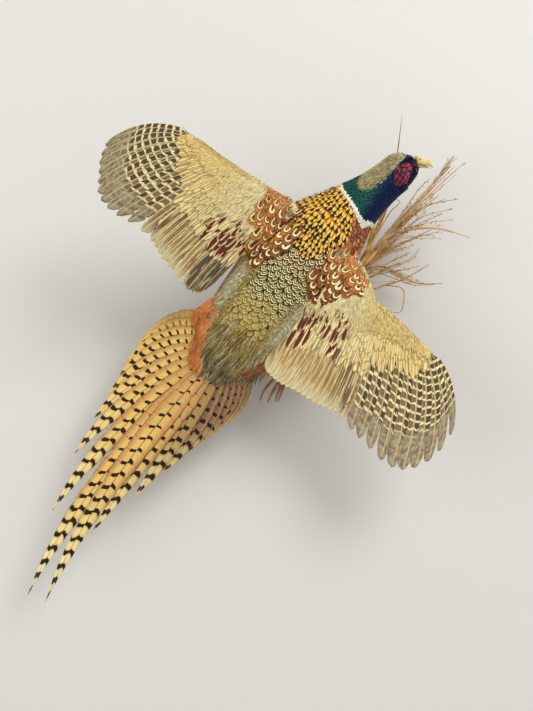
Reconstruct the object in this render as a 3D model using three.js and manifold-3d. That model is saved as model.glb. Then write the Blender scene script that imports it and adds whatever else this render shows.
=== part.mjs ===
// A cock ring-necked pheasant, mounted in flight on a wall with its back to the room,
// on a hidden wooden board with a sheaf of dried grass tied to it.
// Millimetres. +Z up, +X to the viewer's right. The wall is the plane y = 0 and the bird
// stands off it towards -Y, so a distance "off" the wall is -y. The origin is on the
// board's back face, behind the rod that carries the bird.
import * as THREE from "three";
import { mergeVertices } from "three/addons/utils/BufferGeometryUtils.js";
import Module from "manifold-3d";

const wasm = await Module();
wasm.setup();

// ---- driving dimensions -------------------------------------------------------------
const GAP = 0.35; // between neighbouring solids
const FEATHER = 0.7; // thickness of a vane
const BOARD = { left: 45, right: 78, behind: 66, ahead: 74, corner: 16, depth: 18, heading: 51 };
const ROD = { radius: 5, flange: 18, flangeDepth: 3, reach: 66 };

// Stations along the body from the tail's root to the bill's base: a place (x, z, off the
// wall), half width, height of back above and belly below it, and the roll of its back
// away from the viewer, towards the bird's left.
const STATIONS = [
  { x: -101, z: -122, off: 96, half: 19, back: 13, belly: 14, roll: -6 },
  { x: -88, z: -106, off: 98, half: 40, back: 25, belly: 30, roll: -6 },
  { x: -60, z: -72, off: 100, half: 58, back: 39, belly: 46, roll: -7 },
  { x: -30, z: -35, off: 100, half: 64, back: 47, belly: 56, roll: -8 },
  { x: 2, z: 5, off: 101, half: 65, back: 51, belly: 60, roll: -8 },
  { x: 34, z: 44, off: 104, half: 62, back: 50, belly: 58, roll: -4 },
  { x: 62, z: 70, off: 109, half: 50, back: 43, belly: 50, roll: 6 },
  { x: 82, z: 88, off: 115, half: 39, back: 35, belly: 41, roll: 17 },
  { x: 100, z: 102, off: 120, half: 32, back: 30, belly: 34, roll: 28 },
  { x: 117, z: 115, off: 124, half: 27, back: 27, belly: 29, roll: 42 },
  { x: 132, z: 127, off: 127, half: 24, back: 25, belly: 27, roll: 54 },
  { x: 146, z: 137, off: 128, half: 22, back: 25.5, belly: 26, roll: 60 },
  { x: 158, z: 141, off: 128, half: 18, back: 20, belly: 20, roll: 62 },
  { x: 167, z: 143, off: 127, half: 11, back: 11.5, belly: 11, roll: 62 },
];
const NECK_STARTS = 7.1; // in stations
const HEAD_STARTS = 9.6;
const NOSE = 13; // the last station
const TRUNK_DOMES = [0.3, 0];
const HEAD_DOMES = [0, 0.2];

const BILL = {
  length: 27, width: 12, depth: 16, rise: 5.5, droop: -12, hook: 4,
  upper: 0.6, // of the depth, above the gape
  shorter: 0.86, // the lower half's length
  nock: 0.4, // half the slit at the gape
};
const EYE = { radius: 5, ahead: 2, out: 17.4, up: 6 };

// Each wing: its leading edge from shoulder to wrist to finger, and the line through its
// feather tips from the innermost tertial to the outermost primary, as (x, z, off).
const TERTIALS = 3;
const SECONDARIES = 13;
const PRIMARIES = 10;
const FEATHERS = TERTIALS + SECONDARIES + PRIMARIES;
const WRIST_AT = (TERTIALS + SECONDARIES) / FEATHERS;
const WING_EDGE = 1.1; // thickness at the feather tips
const WING_TAPER = 8; // how fast the arm's thickness dies away behind the leading edge
const NOTCH = { arm: 0.035, hand: 0.085 }; // between two tips, as a share of the chord
const CREASE = 0.0015; // at the wrist, between arm and hand, as a share of the span
const WINGS = {
  right: {
    outward: 1,
    arm: [[50, 36, 126], [80, 26, 134], [99, 2, 142], [112, -37, 150]],
    hand: [[112, -37, 150], [140, -62, 156], [168, -90, 160], [176, -99, 161]],
    inner: [[-33, -130, 117], [-17, -145, 119], [8, -158, 124], [34, -174, 130], [60, -185, 136]],
    outer: [
      [73, -201, 141], [96, -224, 147], [125, -252, 155],
      [154, -258, 161], [188, -240, 166], [216, -200, 170],
    ],
    bow: [6, 15],
    camber: [12, 6],
    root: [26, 15, 5],
  },
  left: {
    outward: -1,
    arm: [[10, 68, 128], [6, 92, 142], [-28, 111, 168], [-64, 129, 192]],
    hand: [[-64, 129, 192], [-90, 144, 209], [-112, 158, 224], [-118, 161, 228]],
    inner: [[-88, 0, 130], [-114, -24, 137], [-136, -22, 148], [-165, 14, 172], [-182, 42, 196]],
    outer: [
      [-199, 56, 210], [-225, 70, 230], [-239, 88, 246],
      [-237, 111, 260], [-233, 132, 270], [-223, 153, 276],
    ],
    bow: [6, 17],
    camber: [13, 6],
    root: [26, 15, 5],
  },
};

// The tail: nine pairs, graded from the long middle pair to the short outermost one. Each
// feather turns its own way (in degrees from -X towards -Z) and bows outward by a share of
// its length.
const TAIL = {
  pairs: 9,
  root: { x: -92, z: -104, off: 108 },
  heading: 52,
  grade: 0.66, // of the spare length from one pair to the next
  widest: 33,
  outerWidth: 27,
  bend: [0.62, 0.36], // where along its length a feather bends most, middle pair and outer
  layer: 1.15, // each feather lies this far under the last
  roof: 0.2, // fall for each mm sideways
  tilt: 0.08, // lift of the left half, fall of the right
  ridge: 26, // how round the roof's ridge is
  fall: 0.075, // fall for each mm along
  left: {
    shortest: 103,
    spare: 330, // what the longest has over the shortest
    turns: [51.3, 42.9, 34.3, 27, 20, 13, 6, 0, -5],
    bow: (pair) => 0.05 + 0.005 * pair ** 2,
  },
  right: {
    shortest: 86,
    spare: 339,
    turns: [54.6, 54.1, 58.4, 63.5, 68.5, 74, 80, 86, 92],
    bow: (pair) => 0.04 * pair - 0.045,
  },
};

// Dried grass, tied in a sheaf to the board: its core, then each stem as the way it takes
// (x, z, off), with its half thickness. The last four are the cut butts.
const SHEAF = {
  core: [[2, -122, 31], [23, -65, 26.5], [59, -23, 26.5], [89, 4, 31]],
  radii: [5, 7, 7, 6],
  stems: [
    { thick: 2.0, path: [[89, 4, 31], [116, 31, 48], [154, 80, 60], [197, 128, 74], [222, 159, 80]] },
    { thick: 1.3, path: [[88, 3, 31], [116, 28, 46], [160, 80, 56], [209, 128, 66], [242, 158, 70]] },
    { thick: 1.0, path: [[88, 4, 31], [116, 39, 48], [154, 85, 64], [177, 119, 78], [190, 132, 84]] },
    { thick: 1.1, path: [[88, 4, 31], [119, 37, 46], [160, 77, 58], [192, 107, 68], [214, 128, 72]] },
    { thick: 1.2, path: [[88, 3, 31], [122, 28, 44], [158, 72, 54], [189, 99, 60], [236, 109, 64]] },
    { thick: 1.0, path: [[88, 3, 31], [122, 28, 44], [158, 62, 50], [183, 76, 54], [213, 90, 56]] },
    { thick: 1.4, path: [[88, 4, 31], [124, 45, 50], [158, 65, 60], [203, 68, 70], [250, 54, 72]] },
    { thick: 1.5, path: [[88, 3, 31], [128, 34, 42], [155, 46, 50], [180, 58, 56], [204, 70, 60]] },
    { thick: 1.4, path: [[88, 3, 31], [120, 23, 42], [142, 38, 46], [165, 43, 48]] },
    { thick: 1.0, path: [[84, 0, 30], [109, -1, 36], [139, 14, 42], [170, 27, 48], [183, 42, 52]] },
    { thick: 1.5, path: [[88, 3, 31], [126, 18, 38], [151, 7, 42], [181, -7, 46], [215, -8, 50]] },
    { thick: 1.6, path: [[80, -4, 29], [113, -15, 32], [136, -9, 34], [162, -1, 38], [197, 19, 44]] },
    { thick: 0.9, path: [[136, -9, 34], [159, -14, 40], [162, -30, 40], [157, -47, 36], [142, -47, 34]] },
    { thick: 2.0, path: [[86, 3, 31], [105, 25, 46], [114, 58, 54], [121, 89, 62], [128, 104, 66]] },
    { thick: 1.7, path: [[86, 3, 31], [108, 28, 46], [120, 64, 56], [134, 95, 64], [146, 115, 70]] },
    { thick: 1.1, path: [[88, 4, 31], [121, 58, 52], [140, 90, 60], [153, 104, 66], [141, 110, 66]] },
    { thick: 0.9, path: [[88, 4, 31], [129, 78, 56], [145, 135, 66], [150, 178, 74], [155, 222, 80]] },
    { thick: 2.0, path: [[4, -116, 31], [-23, -160, 44], [-30, -175, 46]] },
    { thick: 2.0, path: [[4, -116, 31], [-14, -157, 42], [-20, -174, 44]] },
    { thick: 1.8, path: [[5, -116, 31], [-8, -154, 40], [-16, -174, 42]] },
    { thick: 1.8, path: [[3, -116, 31], [-32, -154, 46], [-41, -172, 48]] },
  ],
};

const LEG = {
  knee: 52, side: 28, off: 43, tarsus: 66, spur: 13, ankle: 8,
  thigh: [17, 20, 12, 6.5], // radii from the hip to the knee
  shank: [4.2, 3.1, 4.2],
  toe: [3.4, 2.7, 2.2, 0.6],
};
const TOES = [
  { turn: -16, length: 34, fall: 5 },
  { turn: 0, length: 44, fall: 2 },
  { turn: 16, length: 32, fall: 5 },
  { turn: 6, length: 16, fall: 13 },
];

// ---- helpers ------------------------------------------------------------------------
const rad = THREE.MathUtils.degToRad;
const lerp = THREE.MathUtils.lerp;
const clamp = THREE.MathUtils.clamp;
const TOWARDS_VIEWER = new THREE.Vector3(0, -1, 0);

const at = (x, z, off) => new THREE.Vector3(x, -off, z);
const curveOf = (points) =>
  new THREE.CatmullRomCurve3(points.map((p) => at(...p)), false, "catmullrom", 0.5);

// A value that runs smoothly through a list, read at a place counted in items.
function through(list, place) {
  const i = clamp(Math.floor(place), 0, list.length - 2);
  const [a, b] = [list[i], list[i + 1]];
  const before = list[i - 1] ?? 2 * a - b;
  const after = list[i + 2] ?? 2 * b - a;
  const t = place - i;
  return 0.5 * (2 * a + (b - before) * t + (2 * before - 5 * a + 4 * b - after) * t * t
    + (3 * a - before - 3 * b + after) * t ** 3);
}

// Six times the volume a closed surface holds; below zero when it faces inwards.
function signedVolume(geometry) {
  const p = geometry.getAttribute("position");
  const corner = (k) => new THREE.Vector3().fromBufferAttribute(p, geometry.index.getX(k));
  let sum = 0;
  for (let k = 0; k < geometry.index.count; k += 3) {
    sum += corner(k).dot(corner(k + 1).cross(corner(k + 2)));
  }
  return sum;
}

// Moves each vertex of a three.js shape, and keeps it one closed surface facing out.
function mapped(geometry, move) {
  const shape = geometry.clone();
  shape.deleteAttribute("normal");
  shape.deleteAttribute("uv");
  const merged = mergeVertices(shape, 1e-5);
  const p = merged.getAttribute("position");
  const v = new THREE.Vector3();
  for (let i = 0; i < p.count; i++) {
    v.fromBufferAttribute(p, i);
    p.setXYZ(i, ...move(v).toArray());
  }
  const made = mergeVertices(merged, 1e-4);
  if (signedVolume(made) < 0) made.index.array.reverse();
  return made;
}

function solid(geometry) {
  const merged = mergeVertices(geometry, 1e-4);
  return new wasm.Manifold(new wasm.Mesh({
    numProp: 3,
    vertProperties: new Float32Array(merged.getAttribute("position").array),
    triVerts: new Uint32Array(merged.index.array),
  }));
}

function geometryOf(manifold) {
  const pieces = manifold.decompose();
  const largest = pieces.reduce((a, b) => (b.volume() > a.volume() ? b : a));
  const mesh = largest.getMesh();
  return new THREE.BufferGeometry()
    .setAttribute("position", new THREE.BufferAttribute(new Float32Array(mesh.vertProperties), 3))
    .setIndex(new THREE.BufferAttribute(new Uint32Array(mesh.triVerts), 1));
}

function mesh(name, geometry, { colour, roughness = 0.8, metalness = 0 }) {
  const material = new THREE.MeshStandardMaterial({ color: colour, roughness, metalness });
  const made = new THREE.Mesh(geometry, material);
  made.name = name;
  return made;
}

const COAT = {
  trunk: { colour: 0x9a8650 },
  neck: { colour: 0x12343c, roughness: 0.5 },
  head: { colour: 0x14343f, roughness: 0.5 },
  wing: { colour: 0xc9b384 },
  tail: { colour: 0xc99a52 },
  thigh: { colour: 0x6f4a2a },
};
const HORN = { colour: 0xe2c878, roughness: 0.4 };
const GLASS = { colour: 0x2a1608, roughness: 0.08 };
const SCALED = { colour: 0x8d8371, roughness: 0.6 };
const STRAW = { colour: 0xb98f52, roughness: 0.8 };
const WOOD = { colour: 0x5b3d26, roughness: 0.7 };
const STEEL = { colour: 0x8a8d90, roughness: 0.35, metalness: 0.9 };

// ---- body ---------------------------------------------------------------------------
const station = (place) => Object.fromEntries(
  Object.keys(STATIONS[0]).map((key) => [key, through(STATIONS.map((s) => s[key]), place)]),
);

// The body's own axes at a place: ahead along the spine, up out of its back, and its right.
function axesAt(place) {
  const s = station(place);
  const step = 0.05;
  const [a, b] = [station(place - step), station(place + step)];
  const ahead = at(b.x, b.z, b.off).sub(at(a.x, a.z, a.off)).normalize();
  const level = TOWARDS_VIEWER.clone().addScaledVector(ahead, -TOWARDS_VIEWER.dot(ahead)).normalize();
  const up = level.applyAxisAngle(ahead, rad(-s.roll));
  const right = new THREE.Vector3().crossVectors(ahead, up);
  return { centre: at(s.x, s.z, s.off), ahead, up, right, s };
}

// A point of the body's surface, pushed out by "proud"; angle 0 is the back's midline.
function bodyPoint(place, angle, share = 1, proud = 0) {
  const { centre, up, right, s } = axesAt(place);
  const height = (Math.cos(angle) > 0 ? s.back : s.belly) + proud;
  return centre
    .addScaledVector(up, Math.cos(angle) * height * share)
    .addScaledVector(right, Math.sin(angle) * (s.half + proud) * share);
}

// The stretch of body between two places, closed at both ends. "domes" is how far the
// middle of each end stands out of its rim, in stations.
function bodyStretch(from, to, { around = 24, along = 12, proud = 0, domes = [0, 0] }) {
  return mapped(new THREE.CylinderGeometry(1, 1, 1, around, along), (v) => {
    const share = v.y + 0.5;
    const radius = Math.hypot(v.x, v.z);
    const atRim = radius > 0.5;
    const angle = atRim ? Math.atan2(v.x, v.z) : 0;
    const dome = atRim ? 0 : lerp(-domes[0], domes[1], share);
    return bodyPoint(lerp(from, to, share) + dome, angle, radius, proud);
  });
}

// ---- wings --------------------------------------------------------------------------
// The wing is one surface: "span" runs from the innermost tertial (0) to the outermost
// primary (1) and "chord" from the leading edge (0) to the feather tips (1).
function wingSurface(wing) {
  const [arm, hand, inner, outer] = [wing.arm, wing.hand, wing.inner, wing.outer].map(curveOf);
  const joined = (a, b, span) => (span < WRIST_AT
    ? a.getPoint(span / WRIST_AT)
    : b.getPoint((span - WRIST_AT) / (1 - WRIST_AT)));
  // The tips run on from the last secondary to the first primary without a step.
  const tip = (span) => {
    const last = (TERTIALS + SECONDARIES - 1) / FEATHERS;
    const first = (TERTIALS + SECONDARIES) / FEATHERS;
    if (span <= last) return inner.getPoint(clamp(span / last, 0, 1));
    if (span >= first) return outer.getPoint(clamp((span - first) / (1 - first), 0, 1));
    return inner.getPoint(1).lerp(outer.getPoint(0), (span - last) / (first - last));
  };
  return (span, chord) => {
    const [a, b] = [joined(arm, hand, span), tip(span)];
    const along = b.clone().sub(a);
    const side = new THREE.Vector3().crossVectors(along, TOWARDS_VIEWER).normalize();
    const bow = lerp(...wing.bow, clamp((span - WRIST_AT) / (1 - WRIST_AT), 0, 1));
    const camber = lerp(...wing.camber, span);
    return a.addScaledVector(along, chord)
      .addScaledVector(side, -wing.outward * bow * 4 * chord * (1 - chord))
      .addScaledVector(TOWARDS_VIEWER, camber * Math.sin(Math.PI * chord ** 0.6));
  };
}

// Thickest close behind the leading edge, where the arm lies, and a vane's edge at the tips.
function wingThickness(wing, span, chord) {
  const [shoulder, wrist, finger] = wing.root;
  const root = span < WRIST_AT
    ? lerp(shoulder, wrist, span / WRIST_AT)
    : lerp(wrist, finger, (span - WRIST_AT) / (1 - WRIST_AT));
  const profile = Math.sqrt(chord) * Math.exp(-WING_TAPER * chord);
  const peak = Math.sqrt(0.5 / WING_TAPER) * Math.exp(-0.5);
  return WING_EDGE + root * profile / peak;
}

// The tips are rounded, so each feather ends in its own tongue.
function featherEnd(span) {
  const place = span * FEATHERS;
  const offset = Math.abs((place % 1) - 0.5) * 2;
  const notch = place < TERTIALS + SECONDARIES ? NOTCH.arm : NOTCH.hand;
  return 1 - notch * offset ** 2.5;
}

function wingStretch(wing, from, to, columns, rows) {
  const surface = wingSurface(wing);
  const flip = -wing.outward;
  return mapped(new THREE.BoxGeometry(1, 1, 1, columns, rows, 1), (v) => {
    const span = lerp(from, to, v.x + 0.5);
    const chord = (0.5 + flip * v.y) ** 1.7;
    const reach = chord * featherEnd(clamp(span, 0, 0.99999));
    const under = v.z > 0 ? 0 : wingThickness(wing, span, chord);
    return surface(span, reach).addScaledVector(TOWARDS_VIEWER, -under);
  });
}

// ---- tail ---------------------------------------------------------------------------
// The line of a tail feather's shaft, drawn flat: y here is up the wall.
function shaftLine(pair, side) {
  const half = side < 0 ? TAIL.left : TAIL.right;
  const length = half.shortest + half.spare * TAIL.grade ** pair;
  const turn = rad(half.turns[pair]);
  const along = new THREE.Vector2(-Math.cos(turn), -Math.sin(turn));
  const outward = new THREE.Vector2(side * Math.sin(turn), -side * Math.cos(turn));
  const root = new THREE.Vector2(TAIL.root.x, TAIL.root.z);
  const middle = root.clone()
    .addScaledVector(along, length * lerp(...TAIL.bend, pair / (TAIL.pairs - 1)))
    .addScaledVector(outward, length * 2 * half.bow(pair));
  return new THREE.QuadraticBezierCurve(root, middle, root.clone().addScaledVector(along, length));
}

// How far off the wall the tail lies at (x, z): a rounded roof that falls to its tip.
function tailHeight(x, z) {
  const heading = rad(TAIL.heading);
  const [dx, dz] = [x - TAIL.root.x, z - TAIL.root.z];
  const far = -Math.cos(heading) * dx - Math.sin(heading) * dz;
  const left = -Math.sin(heading) * dx + Math.cos(heading) * dz;
  return TAIL.root.off - TAIL.fall * far + TAIL.tilt * left - TAIL.roof * Math.hypot(left, TAIL.ridge);
}

function tailHalfWidth(pair, along) {
  const widest = lerp(TAIL.widest, TAIL.outerWidth, Math.min(1, pair / 4)) / 2;
  const pointed = lerp(1.15, 0.42, Math.min(1, pair / 5));
  const rise = Math.min(1, 0.35 + along * 3);
  return Math.max(1.3, widest * rise * (1 - along ** 2.6) ** pointed);
}

function tailFeather(pair, side) {
  const line = shaftLine(pair, side);
  const layer = (2 * pair + (side > 0 ? 0 : 1)) * TAIL.layer;
  const geometry = new THREE.BoxGeometry(1, 1, 1, 2, pair < 3 ? 10 : 6, 1);
  return mapped(geometry, (v) => {
    const along = 0.5 - v.y;
    const shaft = line.getPoint(along);
    const ahead = line.getTangent(along);
    const across = 2 * v.x * tailHalfWidth(pair, along);
    const [x, z] = [shaft.x - ahead.y * across, shaft.y + ahead.x * across];
    return at(x, z, tailHeight(x, z) - layer - (v.z > 0 ? 0 : FEATHER));
  });
}

// ---- head parts ---------------------------------------------------------------------
const headAxes = axesAt(11);
const headPoint = (ahead, out, up) => headAxes.centre.clone()
  .addScaledVector(headAxes.ahead, ahead)
  .addScaledVector(headAxes.right, out)
  .addScaledVector(headAxes.up, up);

// Half the bill, above or below the gape, from the face to its tip.
function billHalf(upper) {
  const base = axesAt(NOSE - 0.35);
  const droop = rad(BILL.droop);
  const ahead = base.ahead.clone().multiplyScalar(Math.cos(droop)).addScaledVector(base.up, Math.sin(droop));
  const up = new THREE.Vector3().crossVectors(base.right, ahead);
  const length = BILL.length * (upper ? 1 : BILL.shorter);
  return mapped(new THREE.CylinderGeometry(1, 1, 1, 12, 8), (v) => {
    const along = v.y + 0.5;
    const radius = Math.hypot(v.x, v.z);
    const angle = Math.atan2(v.z, v.x);
    const taper = Math.max(0.07, (1 - along ** 2.2) ** 0.62);
    const share = upper ? BILL.upper : 1 - BILL.upper;
    const height = Math.max(0, Math.sin(angle)) * radius * BILL.depth * share * taper;
    const out = Math.cos(angle) * radius * (BILL.width / 2) * taper;
    const sag = -BILL.hook * along ** 3 + (upper ? BILL.nock : -BILL.nock);
    return base.centre.clone()
      .addScaledVector(ahead, 2 + along * length)
      .addScaledVector(base.right, out)
      .addScaledVector(up, BILL.rise + sag + (upper ? height : -height));
  });
}

const eyeAt = (side) => headPoint(EYE.ahead, side * EYE.out, EYE.up);
const ball = (centre, radius) => mapped(
  new THREE.SphereGeometry(radius, 10, 7), (v) => v.clone().add(centre),
);

// ---- legs ---------------------------------------------------------------------------
// A tapering rod along a smooth curve, closed at both ends.
function limb(points, radii, around, along) {
  const curve = new THREE.CatmullRomCurve3(points, false, "catmullrom", 0.5);
  return mapped(new THREE.CylinderGeometry(1, 1, 1, around, along), (v) => {
    const place = v.y + 0.5;
    const ahead = curve.getTangent(place);
    const up = TOWARDS_VIEWER.clone().addScaledVector(ahead, -TOWARDS_VIEWER.dot(ahead)).normalize();
    const right = new THREE.Vector3().crossVectors(ahead, up);
    const radius = Math.max(0.45, through(radii, place * (radii.length - 1)));
    return curve.getPoint(place)
      .addScaledVector(up, v.z * radius)
      .addScaledVector(right, v.x * radius);
  });
}

const bodyAxes = axesAt(3.4);
const fromBody = (ahead, side, off) => {
  const place = bodyAxes.centre.clone()
    .addScaledVector(bodyAxes.ahead, ahead)
    .addScaledVector(bodyAxes.right.clone().setY(0).normalize(), side);
  return place.setY(-off);
};

// The legs are drawn up under the belly, and the toes trail below the tail.
function thigh(side) {
  const points = [[16, 40, 66], [-8, 36, 54], [-34, 31, 46], [-LEG.knee, LEG.side, LEG.off]]
    .map(([ahead, out, off]) => fromBody(ahead, side * out, off));
  return limb(points, LEG.thigh, 10, 6);
}

function foot(side) {
  const knuckleAhead = -LEG.knee - LEG.tarsus;
  const out = side * LEG.side * 0.85;
  const knuckle = fromBody(knuckleAhead, out, LEG.off + LEG.ankle);
  const shank = [
    fromBody(-LEG.knee - 3, side * LEG.side, LEG.off),
    fromBody(-LEG.knee - LEG.tarsus * 0.5, side * LEG.side * 0.93, LEG.off + 3),
    knuckle,
  ];
  let joined = solid(limb(shank, LEG.shank, 7, 4));
  for (const toe of TOES) {
    const reach = (share, drop) => fromBody(
      knuckleAhead - Math.cos(rad(toe.turn)) * toe.length * share,
      out + Math.sin(rad(toe.turn)) * toe.length * share,
      LEG.off + LEG.ankle - drop,
    );
    const points = [knuckle, reach(0.5, toe.fall * 0.2), reach(0.82, toe.fall), reach(1, toe.fall + 5)];
    joined = joined.add(solid(limb(points, LEG.toe, 5, 4)));
  }
  const spurRoot = fromBody(-LEG.knee - LEG.tarsus * 0.66, side * LEG.side * 0.9, LEG.off + 3);
  const spurAt = (x, y, z) => spurRoot.clone().add(new THREE.Vector3(x, y, z));
  const spur = [spurRoot, spurAt(-2, 4, -3), spurAt(-7, LEG.spur, -6)];
  return geometryOf(joined.add(solid(limb(spur, [2.6, 1.9, 0.5], 5, 3))));
}

// ---- mount --------------------------------------------------------------------------
// A board with round corners, turned to lie along the body. More of it is to the bird's
// right, where the sheaf of grass is tied on.
function board() {
  const { left, right, behind, ahead, corner, depth } = BOARD;
  const outline = new THREE.Shape();
  outline.absarc(right - corner, ahead - corner, corner, 0, Math.PI / 2);
  outline.absarc(corner - left, ahead - corner, corner, Math.PI / 2, Math.PI);
  outline.absarc(corner - left, corner - behind, corner, Math.PI, Math.PI * 1.5);
  outline.absarc(right - corner, corner - behind, corner, Math.PI * 1.5, Math.PI * 2);
  const slab = new THREE.ExtrudeGeometry(outline, { depth, bevelEnabled: false, curveSegments: 4 });
  const turn = rad(BOARD.heading - 90);
  return mapped(slab, (v) => at(
    v.x * Math.cos(turn) - v.y * Math.sin(turn), v.x * Math.sin(turn) + v.y * Math.cos(turn), v.z,
  ));
}

function rod(proud = 0) {
  const foot = BOARD.depth + GAP;
  const profile = [
    [0, foot], [ROD.flange, foot], [ROD.flange, foot + ROD.flangeDepth],
    [ROD.radius + proud, foot + ROD.flangeDepth], [ROD.radius + proud, ROD.reach + proud],
    [0, ROD.reach + proud],
  ];
  const lathe = new THREE.LatheGeometry(profile.map(([x, y]) => new THREE.Vector2(x, y)), 16);
  return mapped(lathe, (v) => new THREE.Vector3(v.x, -v.y, v.z));
}

// The sheaf is one piece: a tied core with every stem run into it.
function grass() {
  const places = (points) => points.map((p) => at(...p));
  let joined = solid(limb(places(SHEAF.core), SHEAF.radii, 6, 5));
  for (const { thick, path } of SHEAF.stems) {
    const radii = [thick, thick, thick * 0.8, thick * 0.45];
    joined = joined.add(solid(limb(places(path), radii, 4, Math.ceil(1.5 * (path.length - 1)))));
  }
  return geometryOf(joined);
}

// ---- assembly -----------------------------------------------------------------------
const bird = new THREE.Group();
const add = (name, geometry, finish) => bird.add(mesh(name, geometry, finish));

const rodRoom = solid(rod(GAP));
const trunkRoom = solid(bodyStretch(0, NECK_STARTS, { proud: GAP, domes: TRUNK_DOMES }));
const trunk = solid(bodyStretch(0, NECK_STARTS, { domes: TRUNK_DOMES }));
const thighs = { left: solid(thigh(-1)), right: solid(thigh(1)) };

add("wall_board", board(), WOOD);
add("mount_rod", rod(), STEEL);
add("trunk", geometryOf(trunk.subtract(rodRoom)), COAT.trunk);
const slit = 0.02; // between the body's stretches, in stations
add("neck", bodyStretch(NECK_STARTS + slit, HEAD_STARTS - slit, { along: 4 }), COAT.neck);

const headShape = { around: 20, along: 7, domes: HEAD_DOMES };
let head = solid(bodyStretch(HEAD_STARTS, NOSE, headShape));
for (const side of [-1, 1]) {
  head = head.subtract(solid(ball(eyeAt(side), EYE.radius + GAP)));
  add(side < 0 ? "eye_left" : "eye_right", ball(eyeAt(side), EYE.radius), GLASS);
}
const headRoom = solid(bodyStretch(HEAD_STARTS, NOSE, { ...headShape, proud: GAP }));
add("head", geometryOf(head), COAT.head);
add("bill_upper", geometryOf(solid(billHalf(true)).subtract(headRoom)), HORN);
add("bill_lower", geometryOf(solid(billHalf(false)).subtract(headRoom)), HORN);

for (const [name, wing] of Object.entries(WINGS)) {
  const arm = solid(wingStretch(wing, 0, WRIST_AT - CREASE, (TERTIALS + SECONDARIES) * 2, 3));
  add(`wing_${name}_arm`, geometryOf(arm.subtract(trunkRoom)), COAT.wing);
  add(`wing_${name}_hand`, wingStretch(wing, WRIST_AT + CREASE, 1, PRIMARIES * 3, 3), COAT.wing);
}
for (const [name, side] of [["left", -1], ["right", 1]]) {
  add(`thigh_${name}`, geometryOf(thighs[name].subtract(trunkRoom)), COAT.thigh);
  add(`foot_${name}`, foot(side), SCALED);
  for (let pair = 0; pair < TAIL.pairs; pair++) {
    const vane = solid(tailFeather(pair, side)).subtract(trunkRoom);
    add(`tail_${name}_${pair + 1}`, geometryOf(vane), COAT.tail);
  }
}
add("grass_sheaf", grass(), STRAW);

export default bird;
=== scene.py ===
"""A cock ring-necked pheasant mounted in flight on a wall, dressed in its plumage.

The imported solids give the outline. Over the flesh lies one skin, and over the skin and the
wings lie the feathers, each a closed vane set in its tract and turned the way the coat runs.
Shape tables are in millimetres, as (x, z, distance off the wall); objects are in metres.
"""
import math
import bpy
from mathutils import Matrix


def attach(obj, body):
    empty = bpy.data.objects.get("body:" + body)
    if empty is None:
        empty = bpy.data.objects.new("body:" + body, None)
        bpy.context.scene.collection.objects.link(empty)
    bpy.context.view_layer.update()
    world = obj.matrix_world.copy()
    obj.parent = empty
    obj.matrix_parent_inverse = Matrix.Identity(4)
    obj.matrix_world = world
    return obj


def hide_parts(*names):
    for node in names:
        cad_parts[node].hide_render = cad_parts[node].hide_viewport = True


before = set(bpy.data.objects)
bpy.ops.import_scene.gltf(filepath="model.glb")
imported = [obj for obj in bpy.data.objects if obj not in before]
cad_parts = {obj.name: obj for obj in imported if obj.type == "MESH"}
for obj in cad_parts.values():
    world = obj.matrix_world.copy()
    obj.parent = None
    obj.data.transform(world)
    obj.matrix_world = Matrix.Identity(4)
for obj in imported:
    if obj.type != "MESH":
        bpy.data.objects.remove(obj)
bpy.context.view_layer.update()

from types import SimpleNamespace

import bmesh
import bpy
import numpy as np
from mathutils import Matrix, Vector
from mathutils.bvhtree import BVHTree
from mathutils.kdtree import KDTree

bl_info = {
    "name": "Mounted Pheasant",
    "version": (1, 0, 0),
    "blender": (4, 5, 0),
    "location": "View3D > Sidebar > Pheasant",
    "description": "Dresses the packed solids of a mounted cock pheasant in skin and feathers",
    "category": "Object",
}

MM = 0.001
TOWARDS_VIEWER = np.array([0.0, -1.0, 0.0])
BAKE_PATCH = 0.003  # how wide one small feather lies on the bake map
SEED = 1758

# ---- the bird's own shape, as in the solids ----------------------------------------------
# Along the body from the tail's root to the bill's base: x, z, off, half width, back, belly
# and the roll of the back towards the bird's left, in degrees.
STATIONS = np.array([
    (-101, -122, 96, 19, 13, 14, -6), (-88, -106, 98, 40, 25, 30, -6),
    (-60, -72, 100, 58, 39, 46, -7), (-30, -35, 100, 64, 47, 56, -8),
    (2, 5, 101, 65, 51, 60, -8), (34, 44, 104, 62, 50, 58, -4),
    (62, 70, 109, 50, 43, 50, 6), (82, 88, 115, 39, 35, 41, 17),
    (100, 102, 120, 32, 30, 34, 28), (117, 115, 124, 27, 27, 29, 42),
    (132, 127, 127, 24, 25, 27, 54), (146, 137, 128, 22, 25.5, 26, 60),
    (158, 141, 128, 18, 20, 20, 62), (167, 143, 127, 11, 11.5, 11, 62),
], float)
NOSE = len(STATIONS) - 1
EYE_PLACE = 11
EYE = {"radius": 5, "ahead": 2, "out": 17.4, "up": 6, "angle": 69}
# At the face: mm from one station to the next, and mm from the body's middle to its side.
FACE_STEP, FACE_RADIUS = 15.0, 25.5
BILL = {"length": 27, "width": 12, "depth": 16, "rise": 5.5, "droop": -12, "hook": 5.5,
        "upper": 0.62, "shorter": 0.8, "nock": 0.4, "set_back": 0.35, "ahead": 2}

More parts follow.
